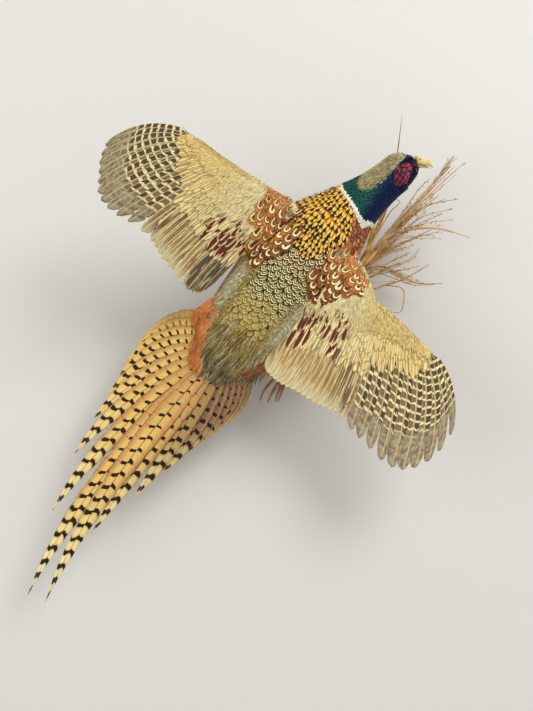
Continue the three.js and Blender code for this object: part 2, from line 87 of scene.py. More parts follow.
SIDES = ((-1, "left"), (1, "right"))
TERTIALS, SECONDARIES, PRIMARIES = 3, 13, 10
FLIGHTS = TERTIALS + SECONDARIES + PRIMARIES
WRIST = (TERTIALS + SECONDARIES) / FLIGHTS
WING_EDGE, WING_TAPER = 1.1, 8
WINGS = {
    "right": {
        "outward": 1,
        "arm": [[50, 36, 126], [80, 26, 134], [99, 2, 142], [112, -37, 150]],
        "hand": [[112, -37, 150], [140, -62, 156], [168, -90, 160], [176, -99, 161]],
        "inner": [[-33, -130, 117], [-17, -145, 119], [8, -158, 124], [34, -174, 130],
                  [60, -185, 136]],
        "outer": [[73, -201, 141], [96, -224, 147], [125, -252, 155], [154, -258, 161],
                  [188, -240, 166], [216, -200, 170]],
        "bow": (6, 15), "camber": (12, 6), "root": (26, 15, 5),
    },
    "left": {
        "outward": -1,
        "arm": [[10, 68, 128], [6, 92, 142], [-28, 111, 168], [-64, 129, 192]],
        "hand": [[-64, 129, 192], [-90, 144, 209], [-112, 158, 224], [-118, 161, 228]],
        "inner": [[-88, 0, 130], [-114, -24, 137], [-136, -22, 148], [-165, 14, 172],
                  [-182, 42, 196]],
        "outer": [[-199, 56, 210], [-225, 70, 230], [-239, 88, 246], [-237, 111, 260],
                  [-233, 132, 270], [-223, 153, 276]],
        "bow": (6, 17), "camber": (13, 6), "root": (26, 15, 5),
    },
}
TAIL = {
    "pairs": 9, "root": (-92, -104), "off": 108, "heading": 52, "grade": 0.66,
    "widest": 33, "outer_width": 27, "bend": (0.62, 0.36), "layer": 1.15, "roof": 0.2,
    "tilt": 0.08, "ridge": 26, "fall": 0.075,
    "left": {"shortest": 103, "spare": 330, "turns": [51.3, 42.9, 34.3, 27, 20, 13, 6, 0, -5],
             "bow": lambda pair: 0.05 + 0.005 * pair ** 2},
    "right": {"shortest": 86, "spare": 339,
              "turns": [54.6, 54.1, 58.4, 63.5, 68.5, 74, 80, 86, 92],
              "bow": lambda pair: 0.04 * pair - 0.045},
}


# ---- numbers -----------------------------------------------------------------------------
def mm(metres):
    return metres / MM


def unit(v):
    return v / np.linalg.norm(v, axis=-1, keepdims=True)


def dot(a, b):
    return (a * b).sum(-1)


def mixed(a, b, share):
    return a + (b - a) * share


def soft(value, low, high):
    """Rises smoothly from 0 at low to 1 at high."""
    t = np.clip((np.asarray(value, float) - low) / (high - low), 0, 1)
    return t * t * (3 - 2 * t)


def through(rows, place):
    """A table's rows read anywhere between them, on a curve that passes through each."""
    rows = np.asarray(rows, float)
    place = np.asarray(place, float)
    padded = np.concatenate([[2 * rows[0] - rows[1]], rows, [2 * rows[-1] - rows[-2]]])
    i = np.clip(np.floor(place).astype(int), 0, len(rows) - 2)
    t = place - i
    if rows.ndim > 1:
        t = t[..., None]
    before, a, b, after = (padded[i + k] for k in range(4))
    return 0.5 * (2 * a + (b - before) * t + (2 * before - 5 * a + 4 * b - after) * t ** 2
                  + (3 * a - before - 3 * b + after) * t ** 3)


def spots(points):
    """(x, z, off) as places in space."""
    return np.array([(x, -off, z) for x, z, off in points], float)


def along_curve(points, share):
    return through(points, np.clip(share, 0, 1) * (len(points) - 1))


def swung(a, b, angle):
    """Turns from direction a towards direction b."""
    return a * np.cos(angle)[..., None] + b * np.sin(angle)[..., None]


def lookup(table, value):
    """Reads a table of (value, result) with straight lines between its rows."""
    given, result = zip(*table)
    return np.interp(value, given, result)


# ---- surfaces ----------------------------------------------------------------------------
class Surface:
    """Part of the bird as two numbers (u, v), with millimetres out of it as height."""

    steps = (0.02, 0.02)

    def tangents(self, u, v):
        du, dv = self.steps
        across = (self.point(u + du, v) - self.point(u - du, v)) / (2 * du)
        down = (self.point(u, v + dv) - self.point(u, v - dv)) / (2 * dv)
        return across, down

    def raised(self, u, v, height):
        across, down = self.tangents(u, v)
        out = unit(np.cross(across, down)) * self.outward
        return self.point(u, v) + out * np.asarray(height)[..., None]

    def lay(self, u, v, turn, along, across, height):
        """Bends vanes rooted at (u, v) onto the surface; turn swings each round its root."""
        du, dv = self.tangents(u, v)
        out = unit(np.cross(du, dv)) * self.outward
        back = self.lie(du, dv, u)
        back = unit(back - out * dot(back, out)[..., None])
        heading = swung(back, np.cross(back, out), turn)
        beside = np.cross(heading, out)

        def steps(direction):
            a, b, c = dot(du, du), dot(du, dv), dot(dv, dv)
            p, q = dot(du, direction), dot(dv, direction)
            det = a * c - b * b
            return (c * p - b * q) / det, (a * q - b * p) / det

        hu, hv = steps(heading)
        bu, bv = steps(beside)
        return self.raised(
            u[:, None] + along * hu[:, None] + across * bu[:, None],
            v[:, None] + along * hv[:, None] + across * bv[:, None], height)


class Body(Surface):
    """u is a place counted in stations from the tail, v an angle from the back's midline
    towards the bird's right."""

    outward = -1

    def frame(self, place):
        row = through(STATIONS, place)
        middle = self.middle(place)
        ahead = unit(self.middle(place + 0.05) - self.middle(place - 0.05))
        level = unit(TOWARDS_VIEWER - ahead * (ahead @ TOWARDS_VIEWER)[..., None])
        up = swung(level, np.cross(ahead, level), -np.radians(row[..., 6]))
        return middle, ahead, up, np.cross(ahead, up), row

    def middle(self, place):
        row = through(STATIONS, place)
        return np.stack([row[..., 0], -row[..., 2], row[..., 1]], -1)

    def point(self, place, angle):
        place, angle = np.broadcast_arrays(np.asarray(place, float), angle)
        middle, _, up, right, row = self.frame(place)
        height = np.where(np.cos(angle) > 0, row[..., 4], row[..., 5])
        return (middle + up * (np.cos(angle) * height)[..., None]
                + right * (np.sin(angle) * row[..., 3])[..., None])

    def lie(self, ahead, _, __):
        return -ahead


class Wing(Surface):
    """u is the span from innermost tertial to outermost primary, v the chord from leading
    edge to feather tips. Below zero, v runs back again along the underside."""

    steps = (0.004, 0.004)

    def __init__(self, name):
        self.name = name
        self.shape = WINGS[name]
        self.side = self.shape["outward"]
        self.outward = -self.side
        self.curves = {key: spots(self.shape[key]) for key in ("arm", "hand", "inner", "outer")}

    def edges(self, span):
        arm, hand, inner, outer = self.curves.values()
        beyond = (span - WRIST) / (1 - WRIST)
        lead = np.where((span < WRIST)[..., None],
                        along_curve(arm, span / WRIST), along_curve(hand, beyond))
        last, first = (TERTIALS + SECONDARIES - 1) / FLIGHTS, WRIST
        between = np.clip((span - last) / (first - last), 0, 1)[..., None]
        tip = np.where((span >= first)[..., None], along_curve(outer, beyond),
                       np.where((span <= last)[..., None], along_curve(inner, span / last),
                                mixed(inner[-1], outer[0], between)))
        return lead, tip

    def thickness(self, span, chord):
        root = np.interp(span, (0, WRIST, 1), self.shape["root"])
        profile = np.sqrt(chord) * np.exp(-WING_TAPER * chord)
        peak = math.sqrt(0.5 / WING_TAPER) * math.exp(-0.5)
        return WING_EDGE + root * profile / peak

    def point(self, span, chord):
        span, chord = np.broadcast_arrays(np.asarray(span, float), chord)
        down = np.abs(chord)
        lead, tip = self.edges(np.clip(span, 0, 1))
        if (span < 0).any() or (span > 1).any():
            inside = np.clip(span, 0.01, 0.99)
            a, b = self.edges(inside - 0.01), self.edges(inside + 0.01)
            over = ((span - np.clip(span, 0, 1)) / 0.02)[..., None]
            lead, tip = lead + (b[0] - a[0]) * over, tip + (b[1] - a[1]) * over
        run = tip - lead
        across = unit(np.cross(run, TOWARDS_VIEWER))
        bow = np.interp(span, (WRIST, 1), self.shape["bow"])
        camber = mixed(*self.shape["camber"], span)
        lift = camber * np.sin(np.pi * np.minimum(down, 1) ** 0.6)
        lift -= np.where(chord < 0, self.thickness(span, down), 0)
        return (lead + run * down[..., None]
                + across * (-self.side * bow * 4 * down * (1 - down))[..., None]
                + TOWARDS_VIEWER * lift[..., None])

    def reach(self, span):
        lead, tip = self.edges(np.asarray(span, float))
        return np.linalg.norm(tip - lead, axis=-1)

    def lie(self, _, down, __):
        return down


class Under(Wing):
    """The same wing seen from below: feathers lie away from the leading edge."""

    def lie(self, _, down, __):
        return -down


class Cover(Surface):
    """What a viewer sees of several nodes as one soft sheet: u is x and v is z."""

    steps = (2.0, 2.0)
    outward = 1

    def __init__(self, nodes, low, high, heading, cell=3.0, drop=0.9, softening=3):
        self.low, self.cell = np.array(low, float), cell
        self.heading = np.array([math.cos(heading), 0.0, math.sin(heading)])
        counts = np.ceil((np.array(high) - self.low) / cell).astype(int) + 1
        tree = tree_of(nodes)
        sheet = np.full(counts, np.nan)
        for i in range(counts[0]):
            for j in range(counts[1]):
                x, z = self.low + cell * np.array([i, j])
                hit = tree.ray_cast(Vector((x * MM, -0.5, z * MM)), Vector((0, 1, 0)))[0]
                if hit is not None:
                    sheet[i, j] = -mm(hit.y)
        self.solid = softened((~np.isnan(sheet)).astype(float), 1)
        self.sheet = softened(filled(sheet, drop * cell), softening)

    def read(self, sheet, x, z):
        i, j = (x - self.low[0]) / self.cell, (z - self.low[1]) / self.cell
        i = np.clip(i, 0, sheet.shape[0] - 1.001)
        j = np.clip(j, 0, sheet.shape[1] - 1.001)
        a, b = i.astype(int), j.astype(int)
        s, t = i - a, j - b
        return ((1 - s) * (1 - t) * sheet[a, b] + s * (1 - t) * sheet[a + 1, b]
                + (1 - s) * t * sheet[a, b + 1] + s * t * sheet[a + 1, b + 1])

    def over(self, spots):
        """Whether places (x, z) lie over the nodes."""
        return self.read(self.solid, spots[..., 0], spots[..., 1]) > 0.6

    def point(self, x, z):
        x, z = np.broadcast_arrays(np.asarray(x, float), z)
        return np.stack([x, -self.read(self.sheet, x, z), z], -1)

    def lie(self, across, _, __):
        return np.broadcast_to(self.heading, across.shape)


class Limb(Surface):
    """A tapering rod: u runs along its path from 0 to 1 and v is the angle round it."""

    steps = (0.02, 0.05)
    outward = 1

    def __init__(self, path, radii, flat=1.0):
        self.path, self.radii = np.array(path, float), np.array(radii, float)
        self.flat = flat

    def point(self, share, angle):
        share, angle = np.broadcast_arrays(np.asarray(share, float), angle)
        middle = along_curve(self.path, share)
        ahead = unit(along_curve(self.path, share + 0.02) - along_curve(self.path, share - 0.02))
        up = unit(TOWARDS_VIEWER - ahead * (ahead @ TOWARDS_VIEWER)[..., None])
        right = np.cross(ahead, up)
        last = len(self.radii) - 1
        radius = np.maximum(0.2, through(self.radii, np.clip(share, 0, 1) * last))
        return (middle + up * (np.sin(angle) * radius * self.flat)[..., None]
                + right * (np.cos(angle) * radius)[..., None])

    def corners(self, template):
        """The corners of a round tube template laid on this limb."""
        return self.point(template.along, template.angle)[None]

    def lie(self, ahead, _, __):
        return ahead


def tree_of(nodes):
    """A search tree over several of the frame's nodes."""
    points, faces = [], []
    for name in nodes:
        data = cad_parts[name].data
        first = len(points)
        points += [tuple(v.co) for v in data.vertices]
        faces += [[first + k for k in p.vertices] for p in data.polygons]
    return BVHTree.FromPolygons(points, faces)


def shifted(sheet):
    padded = np.pad(sheet, 1, constant_values=np.nan)
    rows, columns = sheet.shape
    return np.stack([padded[1 + i:1 + i + rows, 1 + j:1 + j + columns]
                     for i in (-1, 0, 1) for j in (-1, 0, 1)])


def filled(sheet, drop):
    """Carries a height sheet out past its edges, falling by drop in each cell."""
    sheet = sheet.copy()
    while np.isnan(sheet).any():
        around = shifted(sheet)
        known = ~np.isnan(around)
        mean = np.where(known, around, 0).sum(0) / np.maximum(known.sum(0), 1)
        grow = np.isnan(sheet) & known.any(0)
        sheet[grow] = mean[grow] - drop
    return sheet


def softened(sheet, times):
    for _ in range(times):
        around = shifted(sheet)
        known = ~np.isnan(around)
        sheet = np.where(known, around, 0).sum(0) / known.sum(0)
    return sheet


BODY = Body()


# ---- templates: one small shape, copied many times ---------------------------------------
class Template:
    """A closed shape's corners as across (-1..1), along (0..1) and keel (0..1). flat is where
    they lie on a vane laid flat, unrolled where they lie round a tube."""

    def __init__(self, bm):
        bmesh.ops.recalc_face_normals(bm, faces=bm.faces)
        bm.verts.ensure_lookup_table()
        co = np.array([v.co for v in bm.verts]).round(5)
        self.across, self.along, self.keel = co[:, 0], co[:, 1], co[:, 2]
        self.angle = np.arctan2(self.keel, self.across)
        self.flat = np.stack([self.across * 0.5 + 0.5, self.along], -1)
        self.unrolled = np.stack([self.angle / math.tau + 0.5, self.along], -1)
        faces = [[v.index for v in f.verts] for f in bm.faces]
        self.loops = np.concatenate(faces)
        self.starts = np.cumsum([0] + [len(f) for f in faces[:-1]])
        self.rim = np.abs(self.across) > 0.99
        bm.free()

    def rings(self):
        """The corners of each face in turn."""
        return np.split(self.loops, self.starts[1:])


def vane_template(columns, rows, under=2):
    """A vane: a sheet above and a coarser one below it, joined round the edge."""
    bm = bmesh.new()
    bmesh.ops.create_grid(bm, x_segments=columns, y_segments=rows, size=1)
    above = list(bm.verts)
    below = bmesh.ops.create_grid(bm, x_segments=under, y_segments=rows, size=1)["verts"]
    for v in below:
        v.co.z = -1 if abs(v.co.x) < 0.99 else 0
    bmesh.ops.remove_doubles(bm, verts=above + below, dist=1e-4)
    bmesh.ops.holes_fill(bm, edges=bm.edges, sides=0)
    bmesh.ops.translate(bm, verts=bm.verts, vec=(0, 1, 0))
    bmesh.ops.scale(bm, verts=bm.verts, vec=(1, 0.5, 1))
    return Template(bm)


BLADE = ((-1, 0), (1, 0), (0, 1))


def round_section(sides):
    return [(math.cos(k * math.tau / sides), math.sin(k * math.tau / sides))
            for k in range(sides)]


def tube_template(section, rows):
    """A closed tube with the given section, from along 0 to along 1."""
    bm = bmesh.new()
    ring = bmesh.ops.create_circle(bm, cap_ends=True, segments=len(section), radius=1)["verts"]
    for v, (x, z) in zip(ring, section):
        v.co = (x, 0, z)
    end = bm.faces[:]
    for _ in range(rows):
        made = bmesh.ops.extrude_face_region(bm, geom=end)["geom"]
        bmesh.ops.translate(bm, verts=[v for v in made if isinstance(v, bmesh.types.BMVert)],
                            vec=(0, 1 / rows, 0))
        end = [f for f in made if isinstance(f, bmesh.types.BMFace)]
    return Template(bm)


def bead_template(fineness):
    bm = bmesh.new()
    bmesh.ops.create_icosphere(bm, subdivisions=fineness, radius=1)
    return Template(bm)


# ---- pieces ------------------------------------------------------------------------------
def bake_map(mesh, corners):
    layer = mesh.uv_layers.new(name="OFBake")
    layer.data.foreach_set("uv", np.clip(corners, 0, 1).astype(np.float32).ravel())


def add_values(mesh, name, kind, values):
    """Stores a value for each point: kind is FLOAT, FLOAT_COLOR or FLOAT_VECTOR."""
    key = {"FLOAT": "value", "FLOAT_COLOR": "color", "FLOAT_VECTOR": "vector"}[kind]
    layer = mesh.attributes.new(name, kind, "POINT")
    layer.data.foreach_set(key, values.astype(np.float32).ravel())


def finish(obj, material, replaces=()):
    obj.data.materials.append(material)
    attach(obj, "root")
    for node in replaces:
        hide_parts(node)
    return obj


def new_object(name, mesh):
    obj = bpy.data.objects.new(name, mesh)
    bpy.context.scene.collection.objects.link(obj)
    return obj


def joined(name, template, points, tint, flat=None, patch=((0.5, 0.5),), trait=((0, 0, 0),),
           patch_size=BAKE_PATCH, bars=None):
    """One mesh of many bent copies of a template. points is (copies, corners, 3) in mm, tint
    each copy's colour, flat its corners laid flat in 0..1, patch its place on the bake map,
    trait three numbers that its material reads and bars how many it has."""
    copies, corners = points.shape[:2]
    order = np.arange(copies)[:, None]
    loops = (template.loops[None] + corners * order).ravel()
    starts = (template.starts[None] + len(template.loops) * order).ravel()
    mesh = bpy.data.meshes.new(name)
    mesh.vertices.add(copies * corners)
    mesh.vertices.foreach_set("co", (points * MM).astype(np.float32).ravel())
    mesh.loops.add(len(loops))
    mesh.loops.foreach_set("vertex_index", loops.astype(np.int32))
    mesh.polygons.add(len(starts))
    mesh.polygons.foreach_set("loop_start", starts.astype(np.int32))
    mesh.polygons.foreach_set("use_smooth", np.ones(len(starts), bool))
    flat = np.broadcast_to(template.flat if flat is None else flat, (copies, corners, 2))
    lay = mesh.uv_layers.new(name="Vane")
    lay.data.foreach_set("uv", flat.reshape(-1, 2)[loops].astype(np.float32).ravel())
    placed = np.array(patch)[:, None] + (flat - 0.5) * patch_size
    bake_map(mesh, placed.reshape(-1, 2)[loops])
    tint = np.broadcast_to(tint if np.ndim(tint) == 3 else np.atleast_2d(tint)[:, None],
                           (copies, corners, 3))
    add_values(mesh, "tint", "FLOAT_COLOR", np.concatenate([tint, np.ones_like(tint[..., :1])], -1))
    trait = np.array(trait)[:, None]
    add_values(mesh, "trait", "FLOAT_VECTOR", np.broadcast_to(trait, points.shape))
    if bars is not None:
        add_values(mesh, "bars", "FLOAT", np.broadcast_to(bars[:, None], points.shape[:2]))
    mesh.update(calc_edges=True)
    if enclosed(template, points) < 0:
        mesh.flip_normals()
    mesh.validate()
    return new_object(name, mesh)


def enclosed(template, points):
    """Six times the volume inside the copies; below zero when they face inwards."""
    total = 0.0
    middle = points.mean(1, keepdims=True)
    for ring in template.rings():
        a, *others = (points[:, k] - middle[:, 0] for k in ring)
        for b, c in zip(others, others[1:]):
            total += dot(a, np.cross(b, c)).sum()
    return total


class Vane:
    """The flat design of a feather: its outline, how its barbs slant and how it frays."""

    def __init__(self, template, shoulder=0.55, base=0.35, slant=0.45, point=0.5, narrow=0.05):
        self.template, self.shoulder, self.base = template, shoulder, base
        self.slant, self.power, self.narrow = slant, point, narrow

    def outline(self, t):
        rise = mixed(self.base, 1, soft(t, 0, self.shoulder))
        fall = np.clip((t - self.shoulder) / (1 - self.shoulder), 0, 1)
        return rise * np.maximum(self.narrow, (1 - fall ** 2) ** self.power)

    def corners(self, draw, copies, fray):
        """Along and across in 0..1 and -1..1 for each corner of each copy."""
        shape = self.template
        t = shape.along + self.slant * np.abs(shape.across) * shape.along * (1 - shape.along)
        t = np.broadcast_to(t, (copies, len(t)))
        across = shape.across * self.outline(t)
        loose = shape.rim * soft(t, 0.2, 0.6)
        across = across * (1 - fray * loose * draw.random(t.shape))
        t = t + fray * 0.35 * loose * (draw.random(t.shape) - 0.5) * (shape.along < 0.99)
        return t, across


def blade_vane(rows, shoulder=0.3):
    """A narrow, hair-like feather."""
    return Vane(tube_template(BLADE, rows), shoulder=shoulder, base=0.5, slant=0.0, point=0.8)


def spread(draw, count, amount):
    return (draw.random(count) - 0.5) * 2 * amount


def varied(draw, copies, value):
    """A value for each feather; of a pair, the second is how far they stray from the first."""
    if isinstance(value, tuple):
        value = value[0] + spread(draw, copies, value[1])
    return np.broadcast_to(np.asarray(value, float), (copies,))


def jittered(draw, copies, shade, amount):
    """A shade for each feather, varied a little in depth."""
    return shade * (1 + spread(draw, (copies, 1), amount))


def plumage(name, kind, surface, roots, design, draw, *, length, half, rise, patch, tint,
            slot="body_plumage", trait=(), turn=0.0, vary=0, fray=0.25, camber=0.5, thick=0.25):
    """Lays a tract of feathers on a surface. rise is the height of root and tip, vary how much
    the tint varies, trait each feather's last two traits, or all three in one array."""
    u, v = (np.asarray(r, float) for r in roots)
    copies = len(u)
    length, half = varied(draw, copies, length), varied(draw, copies, half)
    low, high = (varied(draw, copies, r)[:, None] for r in rise)
    tint = jittered(draw, copies, tint, vary) if vary else tint
    trait = with_seed(draw, copies, *trait) if isinstance(trait, tuple) else trait
    turn = varied(draw, copies, turn)
    t, across = design.corners(draw, copies, fray)
    lift = mixed(low, high, t ** 0.8) + camber * (1 - across ** 2) * np.minimum(1, 4 * t)
    lift = lift + thick * design.template.keel
    points = surface.lay(u, v, turn, t * length[:, None], across * half[:, None], lift)
    flat = np.stack([across * 0.5 + 0.5, t], -1)
    return finish(joined(name, design.template, points, tint, flat, patch, trait),
                  coat(kind))


def with_seed(draw, copies, first=0.0, second=0.0):
    """A feather's traits: its own random number, then two that its tract sets."""
    columns = [draw.random(copies), np.broadcast_to(first, copies),
               np.broadcast_to(second, copies)]
    return np.stack(columns, -1).astype(float)


def station_mm(place):
    """How long a step from one station to the next is at a place, in mm."""
    return np.linalg.norm(BODY.middle(place + 0.05) - BODY.middle(place - 0.05), axis=-1) * 10


def body_rows(draw, keep, places, angles, exposure, width, shown=0.0, jitter=0.18):
    """Roots in offset rows round the body: angles in degrees, exposure and width in mm. keep
    picks a region by the place that shows, which lies that many mm behind the root."""
    place, row = places[1], 0
    found = []
    while place > places[0]:
        around = np.linspace(*np.radians(angles), 181)
        ring = BODY.point(np.full(181, place), around)
        run = np.concatenate([[0], np.cumsum(np.linalg.norm(np.diff(ring, axis=0), axis=1))])
        count = max(3, int(run[-1] / width))
        at = (np.arange(count) + 0.5 * (row % 2) + 0.25) / count * run[-1]
        at = at + (draw.random(count) - 0.5) * width * jitter * 2
        angle = np.interp(at, run, around)
        step = station_mm(np.array(place))
        stagger = (draw.random(count) - 0.5) * exposure * jitter * 2 / step
        found.append(np.stack([place + stagger, angle]))
        place -= exposure / step
        row += 1
    found = np.concatenate(found, 1)
    seen = found[0] - shown / station_mm(found[0])
    return found[:, keep(seen, np.degrees(found[1]))]


def body_patch(place, angle):
    """A root's place on the flesh unrolled: nose to tail one way, round the body the other."""
    turn = (np.degrees(angle) + 180) % 360 / 360
    return np.stack([0.02 + 0.96 * place / NOSE, 0.02 + 0.96 * turn], -1)


# ---- colours -----------------------------------------------------------------------------
def linear(code):
    """A paint chart's red, green and blue, as the renderer counts them."""
    channels = np.array([(code >> shift) & 255 for shift in (16, 8, 0)]) / 255
    return np.where(channels <= 0.04045, channels / 12.92, ((channels + 0.055) / 1.055) ** 2.4)


def colour(name, code, description):
    return bpy.props.FloatVectorProperty(name=name, description=description, subtype="COLOR",
                                         size=3, min=0, max=1, default=linear(code).tolist())


def length(name, default_mm, description):
    return bpy.props.FloatProperty(name=name, description=description, default=default_mm * MM,
                                   min=0, unit="LENGTH", precision=4)


class PheasantColours(bpy.types.PropertyGroup):
    gold: colour("Gold", 0xF4B530, "Mantle feathers")
    amber: colour("Amber", 0xC06A1C, "Bases of mantle feathers")
    black: colour("Black", 0x14110F, "Marks of mantle, back and tail")
    chestnut: colour("Chestnut", 0xD67A32, "Outer scapulars")
    maroon: colour("Maroon", 0x64251A, "Inner scapulars and wing blotches")
    cream: colour("Cream", 0xF8EBAA, "Crescents, bars and shafts")
    olive: colour("Olive", 0xB59A4E, "Lower back")
    sage: colour("Sage", 0x7E7150, "Rump")
    ash: colour("Ash", 0xE4DCB6, "Pale flank beside the lower back")
    rust: colour("Rust", 0xF3924A, "Tufts beside the rump")
    copper: colour("Copper", 0x97482C, "Breast")
    flank: colour("Flank", 0xBE7C30, "Flanks")
    belly: colour("Belly", 0x35241A, "Belly and thighs")
    green: colour("Green", 0x17584C, "Upper neck")
    navy: colour("Navy", 0x04204A, "Lower neck, chin and forehead")
    collar: colour("Collar", 0xFBF7E0, "White ring round the neck")
    crown: colour("Crown", 0xEBDDA2, "Crown and nape")
    wattle: colour("Wattle", 0xB82C4C, "Bare skin round the eye")
    sand: colour("Sand", 0xFFF0B8, "Smaller wing coverts")
    straw: colour("Straw", 0xF2D27A, "Long wing coverts")
    buff: colour("Buff", 0xB89258, "Secondaries")
    umber: colour("Umber", 0x6E5A4A, "Primaries and tertials")
    tail: colour("Tail", 0xECC268, "Tail vanes")
    mauve: colour("Mauve", 0xA26A4E, "Fringes of the tail vanes")
    skin: colour("Skin", 0x9A7A5C, "Skin under the coat")


class PheasantSizes(bpy.types.PropertyGroup):
    coat_depth: length("Coat depth", 4.5, "Skin to feather tips on the trunk")
    neck_depth: length("Neck depth", 2.6, "Skin to feather tips on neck and head")
    mantle_row: length("Mantle row", 6.6, "Length of a mantle feather that shows")
    mantle_width: length("Mantle width", 6.4, "Spacing of mantle feathers in a row")
    scapular_row: length("Scapular row", 11.0, "Length of a scapular that shows")
    scapular_width: length("Scapular width", 11.6, "Spacing of scapulars in a row")
    back_row: length("Back row", 6.2, "Length of a lower back feather that shows")
    back_width: length("Back width", 8.4, "Spacing of lower back feathers in a row")
    rump_length: length("Rump length", 40, "Whole length of a rump feather")
    neck_row: length("Neck row", 2.4, "Length of a neck feather that shows")
    face_row: length("Face row", 1.7, "Length of a face feather that shows")
    shaft: length("Shaft", 1.3, "Width of a flight feather's shaft at its root")
    primary_width: length("Primary width", 22, "Width of a primary")
    secondary_width: length("Secondary width", 21, "Width of a secondary")
    bar_spacing: length("Bar spacing", 11.5, "From one bar of a primary to the next")
    tail_bar_spacing: length("Tail bar spacing", 12.8, "From one bar of the tail to the next")


class Ink:
    """The colours of the panel by their names."""

    def __getattr__(self, name):
        return np.array(getattr(bpy.context.scene.pheasant_colours, name)[:])


ink = Ink()


def size(name):
    return mm(getattr(bpy.context.scene.pheasant_sizes, name))


# ---- markings of skin and coat -----------------------------------------------------------
# How far round the body the mantle reaches on each side, in degrees.
MANTLE_LEFT = ((4.3, 4), (4.53, 12), (4.66, 28), (4.9, 37), (5.1, 48), (5.4, 80), (7.4, 84))
MANTLE_RIGHT = ((4.3, -14), (4.53, 0), (4.95, 16), (5.47, 30), (5.86, 36), (7.4, 38))
CROWN_HALF = ((8.05, 0), (8.35, 20), (8.7, 29), (9.4, 41), (10.1, 47), (10.9, 44), (11.5, 28),
              (11.8, 0))
COLLAR_AT = ((-180, 7.35), (-84, 7.4), (0, 7.32), (20, 7.29), (42, 7.15), (60, 7.06), (68, 7.16),
             (84, 7.36), (180, 7.36))
COLLAR_HALF = ((-180, 0.07), (0, 0.06), (30, 0.08), (50, 0.14), (60, 0.19), (68, 0.14), (84, 0.08),
               (180, 0.08))


def mantle_share(place, angle):
    """Below 0 inside the mantle, in degrees round the body from its edge."""
    return np.maximum(-angle - lookup(MANTLE_LEFT, place), angle - lookup(MANTLE_RIGHT, place))


def in_mantle(place, angle):
    ends = lookup(COLLAR_AT, angle) - 0.12
    return (mantle_share(place, angle) < 0) & (place > 4.3) & (place < ends)


def collar_share(place, angle):
    """1 inside the white ring, 0 outside it."""
    away = np.abs(place - lookup(COLLAR_AT, angle)) / lookup(COLLAR_HALF, angle)
    return 1 - soft(away, 0.8, 1.15)


def crown_share(place, angle):
    half = lookup(CROWN_HALF, place)
    return (1 - soft(np.abs(angle), half - 4, half + 6)) * (half > 1)


def body_tint(place, angle):
    """The colour of skin and coat at a place on the body; angle in degrees."""
    place, side = np.broadcast_arrays(place, np.abs(angle))
    margin = np.where(angle < 0, soft(side, 40, 58), soft(side, 20, 38))
    past_collar = place - lookup(COLLAR_AT, angle)
    layers = [
        (ink.olive, np.ones_like(place)),
        (ink.sage, 1 - soft(place, 0.9, 2.2)),
        (ink.ash, margin * soft(place, 1.7, 2.3) * (1 - soft(place, 3.2, 3.7))),
        (ink.flank, soft(side, 66, 88)),
        (ink.chestnut, 0.8 * soft(place, 3.7, 4.15) * (1 - soft(side, 60, 80))),
        (ink.copper, soft(side, 22, 44) * soft(place, 4.8, 5.6)),
        (ink.gold, 1 - soft(mantle_share(place, angle), -3, 3)),
        (ink.copper, soft(side, 118, 138) * soft(place, 3.6, 4.8)),
        (ink.belly, soft(side, 112, 146) * (1 - soft(place, 3.6, 4.8))),
        (ink.navy, soft(past_collar, -0.04, 0.02)),
        (ink.green, soft(past_collar, -0.04, 0.02) * (1 - soft(side, 34, 62))
         * (1 - soft(place, 9.2, 10.6))),
        (ink.crown, crown_share(place, angle)),
        (ink.collar, 0.9 * crown_share(place, angle) * soft(place, 10.1, 10.7)
         * np.maximum(soft(side - lookup(CROWN_HALF, place), -14, -4),
                      soft(place, 11.35, 11.6))),
        (ink.collar, collar_share(place, angle)),
    ]
    made = np.zeros(place.shape + (3,))
    for shade, share in layers:
        made = mixed(made, shade, np.clip(share, 0, 1)[..., None])
    return made


# ---- materials ---------------------------------------------------------------------------
class Value:
    """What a shader node gives; sums, products and the calls below add nodes for them."""

    def __init__(self, nodes, socket):
        self.nodes, self.socket = nodes, socket

    def math(self, operation, *others):
        return self.nodes.math(operation, self, *others)

    def __add__(self, other):
        return self.math("ADD", other)

    def __sub__(self, other):
        return self.math("SUBTRACT", other)

    def __mul__(self, other):
        return self.math("MULTIPLY", other)

    def __truediv__(self, other):
        return self.math("DIVIDE", other)

    def __abs__(self):
        return self.math("ABSOLUTE")

    def fit(self, times, plus):
        return self.math("MULTIPLY_ADD", times, plus)

    def most(self, *others):
        made = self
        for other in others:
            made = made.math("MAXIMUM", other)
        return made

    def rise(self, low, high):
        """Smoothly 0 at low and 1 at high, also where low is the greater."""
        return self.nodes.value("ShaderNodeMapRange", {0: self, 1: low, 2: high},
                                interpolation_type="SMOOTHSTEP")

    def band(self, centre, half):
        """1 within half of the centre, 0 away from it."""
        return abs(self - centre).rise(half * 1.3, half * 0.7)


